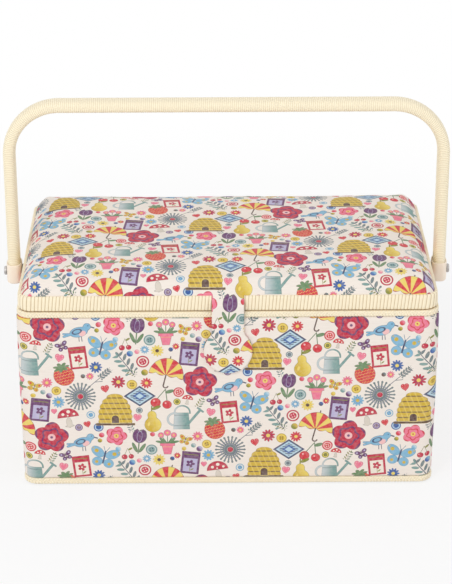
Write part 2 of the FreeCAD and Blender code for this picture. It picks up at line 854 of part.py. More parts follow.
# Every piece and the file that holds it
right_side = side_board()
right_ledge = tray_ledge()
right_cap = handle_cap()
right_rim = lid_rim_side()
pieces = {
    "front_board": front_board(),
    "back_board": back_board(),
    "left_board": mirrored(right_side),
    "right_board": right_side,
    "base_board": base_board(),
    "base_sheet": base_sheet(),
    "body_cover": body_cover(),
    "base_trim": base_trim(),
    "rim_trim": rim_trim(),
    "body_lining": body_lining(),
    "tray_ledge_left": mirrored(right_ledge),
    "tray_ledge_right": right_ledge,
    "tray": tray(),
    "catch_plate": catch_plate(),
    "lid_rim_front": lid_rim_long(-1),
    "lid_rim_back": lid_rim_long(1),
    "lid_rim_left": mirrored(right_rim),
    "lid_rim_right": right_rim,
    "lid_board": lid_board(),
    "lid_pad": lid_pad(),
    "lid_cover": lid_cover(),
    "lid_trim": lid_trim(),
    "lid_lining": lid_lining(),
    "lid_pocket": lid_pocket(),
    "pocket_elastic": pocket_elastic(),
    "pin_cushion": pin_cushion(),
    "tab_root": tab_root(),
    "closure_tab": closure_tab(),
    "tab_stiffener": tab_stiffener(),
    "tab_magnet": tab_magnet(),
    "handle_core": handle_core(),
    "handle_wrap": handle_wrap(),
    "handle_cap_left": mirrored(right_cap),
    "handle_cap_right": right_cap,
    "handle_bushes": pair(handle_bush()),
    "handle_screws": pair(handle_screw()),
    "screw_washers": pair(screw_washer()),
    "screw_nuts": pair(screw_nut()),
    "hinge_body_leaves": hinge_body_leaves(),
    "hinge_lid_leaves": hinge_lid_leaves(),
    "hinge_pins": hinge_pins(),
    "hinge_body_rivets": rivets(body_rivet_places, hinge_leaf_y, board_half_y - rivet_depth),
    "hinge_lid_rivets": rivets(lid_rivet_places, lid_half_y + seat_gap, rim_half_y - rivet_depth),
}

os.makedirs("parts", exist_ok=True)
for piece_name, piece_shape in pieces.items():
    save(piece_name, piece_shape)
    print(piece_name, piece_shape.isValid(), len(piece_shape.Solids), round(piece_shape.Volume, 1))
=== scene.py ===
"""Dressed model of a fabric-covered sewing box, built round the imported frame.

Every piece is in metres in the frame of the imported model: +Z up, the front of the box towards -Y.
"""

import logging
import math
from dataclasses import dataclass
from enum import Enum
from typing import Callable, Optional, Sequence, Union

import bmesh
import bpy
from mathutils import Matrix, Vector, noise


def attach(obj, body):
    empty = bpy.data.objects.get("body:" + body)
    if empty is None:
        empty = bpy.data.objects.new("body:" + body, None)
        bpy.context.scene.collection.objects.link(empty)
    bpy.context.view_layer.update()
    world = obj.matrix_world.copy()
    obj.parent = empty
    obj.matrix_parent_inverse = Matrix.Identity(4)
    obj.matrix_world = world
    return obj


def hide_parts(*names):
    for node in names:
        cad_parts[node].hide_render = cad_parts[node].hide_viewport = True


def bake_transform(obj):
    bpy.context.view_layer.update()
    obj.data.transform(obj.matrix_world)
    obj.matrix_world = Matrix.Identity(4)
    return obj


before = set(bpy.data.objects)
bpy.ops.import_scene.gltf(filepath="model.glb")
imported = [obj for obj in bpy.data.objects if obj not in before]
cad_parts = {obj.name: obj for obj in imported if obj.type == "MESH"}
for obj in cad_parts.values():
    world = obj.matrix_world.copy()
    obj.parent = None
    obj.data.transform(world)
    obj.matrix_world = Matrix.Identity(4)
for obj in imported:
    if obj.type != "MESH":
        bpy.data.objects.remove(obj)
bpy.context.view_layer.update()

LOG = logging.getLogger("sewing_box")
MM = 0.001
TAU = 2 * math.pi
# Gap between a soft piece and the solid behind it.
SKIN = 0.03 * MM

Colour = tuple[float, float, float, float]
Point = tuple[float, float]
Value = Union[float, "Wire"]
GREY: Colour = (0.5, 0.5, 0.5, 1.0)


def dye(red: int, green: int, blue: int) -> Colour:
    """Linear colour from its parts of 255."""

    def linear(part: int) -> float:
        """One part of the colour, without the display's curve."""
        share = part / 255
        return share / 12.92 if share <= 0.04045 else ((share + 0.055) / 1.055) ** 2.4

    return (linear(red), linear(green), linear(blue), 1.0)


def smooth(low: float, high: float, value: float) -> float:
    """Share of the way from low to high, eased at both ends."""
    share = min(max((value - low) / (high - low), 0.0), 1.0)
    return share * share * (3 - 2 * share)


def lerp(low: float, high: float, share: float) -> float:
    """Value a share of the way from low to high."""
    return low + (high - low) * share


# Node trees


def step_of(operation: str, swapped: bool = False) -> Callable[..., "Wire"]:
    """Method that puts a math node after a wire.

    Args:
        operation: the math node's operation.
        swapped: the wire comes last, as in a number less a wire.

    Returns:
        The method, which takes the other values and gives the new wire.
    """

    def step(wire: "Wire", *others: Value) -> "Wire":
        """Wire after the operation."""
        values = (*others, wire) if swapped else (wire, *others)
        return wire.net.math(operation, *values)

    return step


class Wire:
    """Output of a node, on which sums are written as formulas."""

    __add__ = __radd__ = step_of("ADD")
    __sub__ = step_of("SUBTRACT")
    __rsub__ = step_of("SUBTRACT", swapped=True)
    __mul__ = __rmul__ = step_of("MULTIPLY")
    __truediv__ = step_of("DIVIDE")
    __pow__ = step_of("POWER")
    __abs__ = step_of("ABSOLUTE")
    least = step_of("MINIMUM")
    most = step_of("MAXIMUM")
    blob = step_of("SMOOTH_MAX")
    root = step_of("SQRT")
    sin = step_of("SINE")
    cos = step_of("COSINE")
    floor = step_of("FLOOR")

    def __init__(self, net: "Net", socket: bpy.types.NodeSocket) -> None:
        """Keep the tree and the socket."""
        self.net = net
        self.socket = socket

    def wrap(self, low: float, high: float) -> "Wire":
        """Value brought back between two bounds by whole spans."""
        return self.net.math("WRAP", self, high, low)

    def rise(self, low: Value, high: Value) -> "Wire":
        """Eased step from 0 at low to 1 at high."""
        node = self.net.node("MapRange", interpolation_type="SMOOTHSTEP")
        for name, value in (("Value", self), ("From Min", low), ("From Max", high)):
            self.net.feed(node.inputs[name], value)
        return Wire(self.net, node.outputs[0])


class Net:
    """Node tree with short calls for the nodes that the finishes use."""

    def __init__(self, tree: bpy.types.NodeTree) -> None:
        """Keep the tree."""
        self.tree = tree

    def node(self, kind: str, **settings: object) -> bpy.types.Node:
        """New shader node of a kind, with its settings."""
        made = self.tree.nodes.new("ShaderNode" + kind)
        for name, value in settings.items():
            setattr(made, name, value)
        return made

    def feed(self, socket: bpy.types.NodeSocket, value: object) -> None:
        """Join a wire to a socket, or set the socket's own value."""
        if isinstance(value, Wire):
            self.tree.links.new(value.socket, socket)
        else:
            socket.default_value = value

    def math(self, operation: str, *values: Value) -> Wire:
        """One sum."""
        made = self.node("Math", operation=operation)
        for socket, value in zip(made.inputs, values):
            self.feed(socket, value)
        return Wire(self, made.outputs[0])

    def mix(self, share: Value, low: object, high: object, blend: str = "MIX") -> Wire:
        """Mix of two colours."""
        made = self.node("Mix", data_type="RGBA", blend_type=blend)
        for index, value in ((0, share), (6, low), (7, high)):
            self.feed(made.inputs[index], value)
        return Wire(self, made.outputs[2])

    def join(self, x: Value, y: Value, z: Value = 0.0) -> Wire:
        """Vector from three values."""
        made = self.node("CombineXYZ")
        for socket, value in zip(made.inputs, (x, y, z)):
            self.feed(socket, value)
        return Wire(self, made.outputs[0])

    def split(self, vector: Wire) -> tuple[Wire, Wire, Wire]:
        """Three values of a vector."""
        made = self.node("SeparateXYZ")
        self.feed(made.inputs[0], vector)
        return tuple(Wire(self, socket) for socket in made.outputs)

    def clouds(self, vector: Wire, scale: float, detail: float = 2.0, rough: float = 0.5) -> Wire:
        """Soft random pattern from 0 to 1."""
        made = self.node("TexNoise")
        for name, value in (("Vector", vector), ("Scale", scale), ("Detail", detail), ("Roughness", rough)):
            self.feed(made.inputs[name], value)
        return Wire(self, made.outputs[0])

    def place(self, source: "Source") -> Wire:
        """Coordinates that a pattern follows."""
        made = self.node("TexCoord")
        return Wire(self, made.outputs[source.value])

    def use(self, group: bpy.types.NodeTree, **values: object) -> dict[str, Wire]:
        """Place a node group, with its inputs, and give its outputs by name."""
        made = self.tree.nodes.new("ShaderNodeGroup")
        made.node_tree = group
        for name, value in values.items():
            self.feed(made.inputs[name.replace("_", " ").title()], value)
        return {socket.name: Wire(self, socket) for socket in made.outputs}


class Source(Enum):
    """Coordinates of a pattern: the object's own frame, or the cloth as it was cut."""

    FRAME = "Object"
    CLOTH = "UV"


def group_of(
    name: str,
    inputs: dict[str, object],
    outputs: dict[str, str],
    build: Callable[[Net, dict[str, Wire]], dict[str, Wire]],
) -> bpy.types.NodeTree:
    """Node group, made the first time that it is asked for.

    Args:
        name: the group's name.
        inputs: default value by input name; a number, three numbers or a colour.
        outputs: "Float" or "Color" by output name.
        build: lays the nodes out, from the wires of the inputs to those of the outputs.

    Returns:
        The group's tree.
    """
    if name in bpy.data.node_groups:
        return bpy.data.node_groups[name]
    tree = bpy.data.node_groups.new(name, "ShaderNodeTree")
    for label, value in inputs.items():
        kind = "Float" if isinstance(value, float) else {3: "Vector", 4: "Color"}[len(value)]
        socket = tree.interface.new_socket(label, in_out="INPUT", socket_type="NodeSocket" + kind)
        socket.default_value = value
    for label, kind in outputs.items():
        tree.interface.new_socket(label, in_out="OUTPUT", socket_type="NodeSocket" + kind)
    net = Net(tree)
    entry = tree.nodes.new("NodeGroupInput")
    leave = tree.nodes.new("NodeGroupOutput")
    made = build(net, {socket.name: Wire(net, socket) for socket in entry.outputs if socket.name})
    for label, wire in made.items():
        net.feed(leave.inputs[label], wire)
    return tree


# Printed motifs


class Pen:
    """Plane shapes of one printed motif; the depth of a shape is above zero inside it."""

    blur = 0.04

    def __init__(self, net: Net, x: Wire, y: Wire) -> None:
        """Keep the tree and the place on the motif, whose half size is 1."""
        self.net = net
        self.x = x
        self.y = y

    def reach(self, across: float = 0.0, up: float = 0.0) -> Wire:
        """Distance from a point."""
        dx = self.x - across
        dy = self.y - up
        return (dx * dx + dy * dy).root()

    def angle(self) -> Wire:
        """Direction seen from the middle."""
        return self.net.math("ARCTAN2", self.y, self.x)

    def folded(self) -> "Pen":
        """The same motif with its left half laid on its right half."""
        return Pen(self.net, abs(self.x), self.y)

    def disc(self, across: float, up: float, radius: float) -> Wire:
        """Round spot."""
        return radius - self.reach(across, up)

    def oval(self, across: float, up: float, half_x: float, half_y: float, turn: float = 0.0) -> Wire:
        """Oval spot, turned by degrees."""
        dx = self.x - across
        dy = self.y - up
        cosine, sine = math.cos(math.radians(turn)), math.sin(math.radians(turn))
        along = (dx * cosine + dy * sine) / half_x
        off = (dy * cosine - dx * sine) / half_y
        return (1.0 - (along * along + off * off).root()) * min(half_x, half_y)

    def box(self, across: float, up: float, half_x: float, half_y: float) -> Wire:
        """Upright rectangle."""
        return (half_x - abs(self.x - across)).least(half_y - abs(self.y - up))

    def line(self, start: Point, end: Point, half: float) -> Wire:
        """Straight stroke with round ends."""
        dx, dy = self.x - start[0], self.y - start[1]
        run = (end[0] - start[0], end[1] - start[1])
        size = run[0] ** 2 + run[1] ** 2
        share = (dx * (run[0] / size) + dy * (run[1] / size)).most(0.0).least(1.0)
        off_x, off_y = dx - share * run[0], dy - share * run[1]
        return half - (off_x * off_x + off_y * off_y).root()

    def over(self, under: object, colour: object, depth: Wire) -> Wire:
        """Colour laid over another inside a shape."""
        return self.net.mix(depth.rise(0.0, self.blur), under, colour)


@dataclass(frozen=True)
class Inks:
    """The three colours of a motif while it is drawn."""

    main: Wire
    accent: Wire
    dark: Wire


Drawn = tuple[Wire, Wire]


def draw_daisy(pen: Pen, inks: Inks) -> Drawn:
    """Many-petalled flower with a round heart."""
    reach = pen.reach()
    petals = abs((pen.angle() * 5.5).cos())
    colour = pen.net.mix(petals.rise(0.05, 0.6), inks.dark, inks.main)
    return 0.62 + petals * 0.38 - reach, pen.over(colour, inks.accent, 0.3 - reach)


def draw_blossom(pen: Pen, inks: Inks) -> Drawn:
    """Full flower of five round petals with curling inner ones."""
    reach = pen.reach()
    angle = pen.angle()
    petals = abs((angle * 2.5).cos())
    whorl = (reach * 15.0 + (angle * 5.0).sin() * 1.1).sin()
    colour = pen.net.mix(whorl.rise(0.45, 0.95), inks.main, inks.dark)
    colour = pen.over(colour, inks.accent, 0.24 - reach)
    return 0.76 + petals * 0.24 - reach, pen.over(colour, inks.dark, 0.1 - reach)


def draw_tulip(pen: Pen, inks: Inks) -> Drawn:
    """Cup-shaped flower on a stem with two leaves."""
    half = pen.folded()
    cup = pen.oval(0.0, 0.42, 0.5, 0.58).least(0.72 + abs((pen.x * 6.3).sin()) * 0.24 - pen.y)
    stalk = pen.line((0.0, 0.1), (0.0, -0.96), 0.05).most(half.oval(0.26, -0.52, 0.44, 0.13, 62.0))
    colour = pen.over(inks.accent, inks.main, cup)
    stripe = half.oval(0.0, 0.36, 0.2, 0.5)
    return cup.most(stalk), pen.over(colour, inks.dark, stripe.least(0.06 - stripe))


def draw_sprig(pen: Pen, inks: Inks) -> Drawn:
    """Stem with pairs of leaves."""
    row = Pen(pen.net, abs(pen.x), (pen.y + 0.05).wrap(-0.2, 0.2))
    leaves = row.oval(0.26, 0.02, 0.27, 0.105, 38.0).least(0.8 - abs(pen.y))
    tip = pen.oval(0.0, 0.8, 0.1, 0.2)
    stem = pen.line((0.0, -0.98), (0.0, 0.7), 0.035)
    colour = pen.net.mix(pen.x.rise(-0.02, 0.02), inks.main, inks.accent)
    return leaves.most(tip).most(stem), pen.over(colour, inks.dark, stem)


def draw_wheat(pen: Pen, inks: Inks) -> Drawn:
    """Ear of grain on a long stalk."""
    row = Pen(pen.net, abs(pen.x), (pen.y + 0.08).wrap(-0.11, 0.11))
    grains = row.oval(0.13, 0.0, 0.17, 0.075, 52.0).least(pen.y + 0.06).least(0.86 - pen.y)
    stalk = pen.line((0.0, -1.0), (0.0, 0.9), 0.03).most(pen.line((0.0, -0.5), (0.3, -0.1), 0.03))
    beard = pen.folded().line((0.05, 0.8), (0.14, 1.0), 0.016)
    return grains.most(stalk).most(beard), pen.over(inks.main, inks.dark, stalk)


def draw_strawberry(pen: Pen, inks: Inks) -> Drawn:
    """Pointed berry with seeds under a leafy crown."""
    berry = pen.oval(0.0, -0.02, 0.78, 0.82).least((pen.y + 1.06) * 0.72 - abs(pen.x) * 0.6)
    seed_y = pen.y * 4.4
    seed_x = pen.x * 4.4 + seed_y.floor() * 0.5
    seed = Pen(pen.net, seed_x.wrap(-0.5, 0.5), seed_y.wrap(-0.5, 0.5) * 0.6)
    crown = Pen(pen.net, pen.x, (pen.y - 0.68) * 1.6)
    leaves = 0.34 + abs((crown.angle() * 3.5).cos()) * 0.3 - crown.reach()
    colour = pen.over(inks.main, inks.accent, seed.disc(0.0, 0.0, 0.17))
    return berry.most(leaves), pen.over(colour, inks.dark, leaves)


def draw_cherries(pen: Pen, inks: Inks) -> Drawn:
    """Two cherries on their stalks, with a leaf."""
    fruit = pen.disc(-0.46, -0.5, 0.44).most(pen.disc(0.5, -0.56, 0.4))
    stalks = pen.line((-0.42, -0.2), (0.2, 0.84), 0.045).most(pen.line((0.46, -0.24), (0.2, 0.84), 0.045))
    leaf = pen.oval(0.56, 0.68, 0.4, 0.17, 24.0)
    shine = pen.disc(-0.6, -0.36, 0.1).most(pen.disc(0.37, -0.44, 0.09))
    colour = pen.over(inks.dark, inks.main, fruit)
    return fruit.most(stalks).most(leaf), pen.over(colour, inks.accent, shine)


def draw_pear(pen: Pen, inks: Inks) -> Drawn:
    """Pear with a stalk and a leaf."""
    fruit = pen.disc(0.0, -0.42, 0.56).blob(pen.disc(0.02, 0.3, 0.3), 0.3)
    leaf = pen.oval(0.36, 0.8, 0.34, 0.13, 18.0).most(pen.line((0.02, 0.5), (0.08, 0.94), 0.05))
    colour = pen.net.mix((pen.x + pen.y * 0.3).rise(-0.5, 0.5), inks.main, inks.accent)
    colour = pen.over(inks.dark, colour, fruit)
    return fruit.most(leaf), pen.over(colour, inks.accent, pen.oval(-0.26, -0.34, 0.1, 0.2, -20.0))


def draw_butterfly(pen: Pen, inks: Inks) -> Drawn:
    """Butterfly with spotted wings."""
    half = pen.folded()
    wings = half.oval(0.5, 0.3, 0.52, 0.34, 32.0).most(half.oval(0.38, -0.42, 0.36, 0.34, -30.0))
    body = pen.line((0.0, -0.46), (0.0, 0.4), 0.07).most(half.line((0.02, 0.4), (0.2, 0.78), 0.025))
    spots = half.disc(0.6, 0.36, 0.16).most(half.disc(0.42, -0.46, 0.13)).most(half.disc(0.84, 0.52, 0.07))
    return wings.most(body), pen.over(pen.over(inks.main, inks.accent, spots), inks.dark, body)


def draw_toadstool(pen: Pen, inks: Inks) -> Drawn:
    """Spotted toadstool."""
    cap = pen.oval(0.0, -0.02, 0.92, 0.86).least(pen.y + 0.02)
    stem = pen.oval(0.0, -0.52, 0.26, 0.5).most(pen.oval(0.0, -0.84, 0.42, 0.12))
    spots = pen.disc(-0.4, 0.3, 0.15).most(pen.disc(0.08, 0.5, 0.17)).most(pen.disc(0.52, 0.24, 0.13))
    colour = pen.over(pen.net.mix(0.24, inks.accent, inks.dark), inks.main, cap)
    colour = pen.over(colour, inks.accent, spots.most(pen.disc(-0.02, 0.14, 0.09)))
    return cap.most(stem), pen.over(colour, inks.dark, pen.line((-0.5, 0.0), (0.5, 0.0), 0.03))


def draw_clock(pen: Pen, inks: Inks) -> Drawn:
    """Seed head: a ring of dots at the ends of fine rays."""
    reach = pen.reach()
    ray = abs((pen.angle() * 11.0).sin()) * reach
    rays = (0.05 - ray * 0.09).least(0.9 - reach).least(reach - 0.2)
    dots = 0.075 - (((reach - 0.92) * 0.8) ** 2.0 + (ray * 0.1) ** 2.0).root()
    rings = 0.03 - abs(reach - 0.62)
    heart = 0.2 - reach
    colour = pen.over(inks.main, inks.accent, rings.most(0.03 - abs(reach - 0.4)))
    return rays.most(dots).most(rings).most(heart), pen.over(colour, inks.dark, heart)


def draw_diamond(pen: Pen, inks: Inks) -> Drawn:
    """Lozenge with a ruled border and a small lozenge inside."""
    depth = 0.62 - abs(pen.x) * 0.62 - abs(pen.y) * 0.86
    hatch = abs((pen.y * 26.0).sin()) * 0.1 - 0.05
    colour = pen.over(inks.main, inks.accent, depth - 0.1)
    colour = pen.over(colour, inks.main, hatch.least(depth - 0.2))
    colour = pen.over(colour, inks.dark, depth - 0.34)
    return depth, pen.over(colour, inks.accent, depth - 0.44)


def draw_skep(pen: Pen, inks: Inks) -> Drawn:
    """Straw hive of stacked coils with a dark door."""
    dome = pen.oval(0.0, -0.5, 0.86, 1.36).least(pen.y + 0.82)
    coil = abs((pen.y * 10.6).sin())
    depth = dome - (1.0 - coil) * 0.05
    straw = (pen.x * 23.0 + pen.y * 9.0).sin() * 0.5 + 0.5
    colour = pen.net.mix(coil.rise(0.0, 0.55), inks.dark, inks.main)
    colour = pen.net.mix(straw.rise(0.7, 1.0) * 0.5, colour, inks.accent)
    stand = pen.box(0.0, -0.88, 0.98, 0.07)
    door = pen.disc(0.0, -0.56, 0.2).most(pen.box(0.0, -0.7, 0.2, 0.13))
    colour = pen.over(colour, inks.dark, door.most(stand))
    return depth.most(stand), pen.over(colour, inks.accent, 0.035 - abs(door))


def draw_packet(pen: Pen, inks: Inks) -> Drawn:
    """Seed packet with a flower on its panel."""
    depth = pen.box(0.0, 0.0, 0.7, 0.96)
    panel = pen.box(0.0, -0.2, 0.54, 0.6)
    flower = Pen(pen.net, pen.x, pen.y + 0.08)
    petals = 0.2 + abs((flower.angle() * 2.5).cos()) * 0.16 - flower.reach()
    stalk = pen.line((0.0, -0.2), (0.0, -0.74), 0.04).most(pen.oval(0.16, -0.56, 0.2, 0.07, 35.0))
    colour = pen.over(inks.main, inks.accent, panel)
    colour = pen.over(colour, inks.dark, stalk.most(pen.box(0.0, 0.7, 0.56, 0.05)))
    colour = pen.over(colour, inks.main, petals)
    return depth, pen.over(colour, inks.accent, 0.09 - flower.reach())


def draw_parasol(pen: Pen, inks: Inks) -> Drawn:
    """Striped parasol with a scalloped edge."""
    low = Pen(pen.net, pen.x, pen.y + 0.2)
    scallop = abs((pen.x * 5.4).sin()) * 0.12
    dome = pen.oval(0.0, -0.2, 0.98, 1.1).least(pen.y + scallop + 0.14)
    stripe = (low.angle() * 9.0).sin()
    shaft = pen.line((0.0, 0.0), (0.0, -0.82), 0.045)
    hook = (0.045 - abs(pen.reach(0.13, -0.82) - 0.13)).least(-0.8 - pen.y)
    colour = pen.net.mix(stripe.rise(-0.2, 0.2), inks.main, inks.accent)
    handle = shaft.most(hook).most(pen.line((0.0, 0.84), (0.0, 1.0), 0.04))
    return dome.most(handle), pen.over(inks.dark, colour, dome)


def draw_bird(pen: Pen, inks: Inks) -> Drawn:
    """Small songbird."""
    body = pen.oval(-0.02, -0.08, 0.6, 0.36, 18.0).blob(pen.disc(0.48, 0.34, 0.25), 0.16)
    tail = pen.line((-0.46, -0.26), (-0.94, -0.46), 0.09).most(pen.line((-0.46, -0.24), (-0.98, -0.28), 0.07))
    beak = pen.line((0.68, 0.34), (0.92, 0.28), 0.05)
    legs = pen.line((0.0, -0.38), (0.04, -0.72), 0.03).most(pen.line((0.16, -0.36), (0.22, -0.7), 0.03))
    wing = pen.oval(-0.14, -0.06, 0.38, 0.2, 24.0)
    colour = pen.over(inks.dark, inks.main, body.most(tail))
    colour = pen.over(colour, inks.accent, pen.oval(0.22, -0.16, 0.26, 0.2, 40.0))
    colour = pen.over(colour, inks.dark, wing.least(0.1 - wing).most(pen.disc(0.54, 0.4, 0.055)))
    return body.most(tail).most(beak).most(legs), colour


def draw_pot(pen: Pen, inks: Inks) -> Drawn:
    """Plant pot with leaves and three flowers."""
    pot = (0.46 + pen.y * 0.22 - abs(pen.x)).least(-0.12 - pen.y).least(pen.y + 0.96)
    rim = pen.box(0.0, -0.18, 0.52, 0.11)
    half = pen.folded()
    leaves = half.oval(0.3, 0.12, 0.36, 0.12, 46.0).most(half.oval(0.5, 0.02, 0.34, 0.1, 12.0))
    stems = half.line((0.0, -0.1), (0.4, 0.5), 0.035).most(pen.line((0.0, -0.1), (0.0, 0.66), 0.035))
    flowers = half.disc(0.44, 0.56, 0.22).most(pen.disc(0.0, 0.74, 0.25))
    hearts = half.disc(0.44, 0.56, 0.08).most(pen.disc(0.0, 0.74, 0.09))
    colour = pen.over(inks.dark, inks.main, pot.most(rim).most(flowers))
    colour = pen.over(colour, inks.accent, hearts.most(pen.box(0.0, -0.36, 0.6, 0.03).least(pot)))
    return pot.most(rim).most(leaves).most(stems).most(flowers), colour


def draw_can(pen: Pen, inks: Inks) -> Drawn:
    """Watering can with a long spout."""
    body = (0.4 - pen.y * 0.06 - abs(pen.x + 0.14)).least(pen.y + 0.72).least(0.28 - pen.y)
    spout = pen.line((0.2, -0.4), (0.84, 0.42), 0.075).most(pen.line((0.72, 0.54), (0.98, 0.32), 0.06))
    ear = 0.065 - abs(pen.reach(-0.5, -0.12) - 0.36)
    bail = (0.05 - abs(pen.reach(-0.1, 0.28) - 0.4)).least(pen.y - 0.2)
    bands = (0.035 - abs(pen.y + 0.5)).most(0.035 - abs(pen.y - 0.12)).least(body)
    colour = pen.net.mix((pen.x + 0.14).rise(-0.4, 0.3), inks.accent, inks.main)
    return body.most(spout).most(ear.most(bail)), pen.over(colour, inks.dark, bands)


def draw_ring(pen: Pen, inks: Inks) -> Drawn:
    """Round berry with a pale ring and a dotted heart."""
    reach = pen.reach()
    quarter = Pen(pen.net, abs(pen.x), abs(pen.y))
    colour = pen.over(inks.main, inks.accent, 0.12 - abs(reach - 0.66))
    return 1.0 - reach, pen.over(colour, inks.dark, quarter.disc(0.2, 0.2, 0.13))


def draw_heart(pen: Pen, inks: Inks) -> Drawn:
    """Heart with a dotted inner line."""
    lift = pen.y * 1.12 + 0.12 - abs(pen.x).root() * 0.62
    depth = 0.84 - (pen.x * pen.x + lift * lift).root()
    dots = (pen.angle() * 9.0).sin() * 0.05
    return depth, pen.over(inks.main, inks.accent, (0.05 - abs(depth - 0.26)).least(dots + 0.02))


def draw_dot(pen: Pen, inks: Inks) -> Drawn:
    """Plain spot, paler to one side."""
    return 1.0 - pen.reach(), pen.net.mix((pen.x + pen.y).rise(-0.6, 0.9), inks.main, inks.accent)


Draw = Callable[[Pen, Inks], Drawn]


def motif_tree(draw: Draw) -> bpy.types.NodeTree:
    """Node group of the motif that a function draws."""

    def build(net: Net, ins: dict[str, Wire]) -> dict[str, Wire]:
        """Depth and colour of the motif at one place."""
        inks = Inks(ins["Main"], ins["Accent"], ins["Dark"])
        depth, colour = draw(Pen(net, ins["X"], ins["Y"]), inks)
        return {"Depth": depth, "Color": colour}

    name = draw.__name__.replace("draw_", "motif_")
    inputs = {"X": 0.0, "Y": 0.0, "Main": GREY, "Accent": GREY, "Dark": GREY}
    return group_of(name, inputs, {"Depth": "Float", "Color": "Color"}, build)


class Dye(Enum):
    """Colours of the print."""

    RASPBERRY = dye(196, 30, 66)
    RED = dye(214, 48, 62)
    PINK = dye(240, 120, 150)
    BLUSH = dye(248, 196, 196)
    MUSTARD = dye(214, 180, 52)
    LEMON = dye(240, 216, 104)
    OLIVE = dye(138, 142, 44)
    GREEN = dye(104, 140, 96)
    SKY = dye(126, 184, 216)
    PALE_SKY = dye(190, 220, 234)
    BLUE = dye(48, 98, 172)
    NAVY = dye(52, 68, 108)
    PURPLE = dye(104, 50, 108)
    LAVENDER = dye(190, 184, 218)
    SLATE = dye(112, 130, 134)
    SILVER = dye(198, 208, 210)
    TEAL = dye(120, 160, 156)
    BROWN = dye(92, 66, 58)
    CREAM = dye(246, 238, 224)


@dataclass(frozen=True)
class Stamp:
    """One motif of the repeat: its place and half size in millimetres, its turn in degrees, its colours."""

    draw: Draw
    x: float
    y: float
    size: float
    turn: float
    main: Dye
    accent: Dye
    dark: Dye


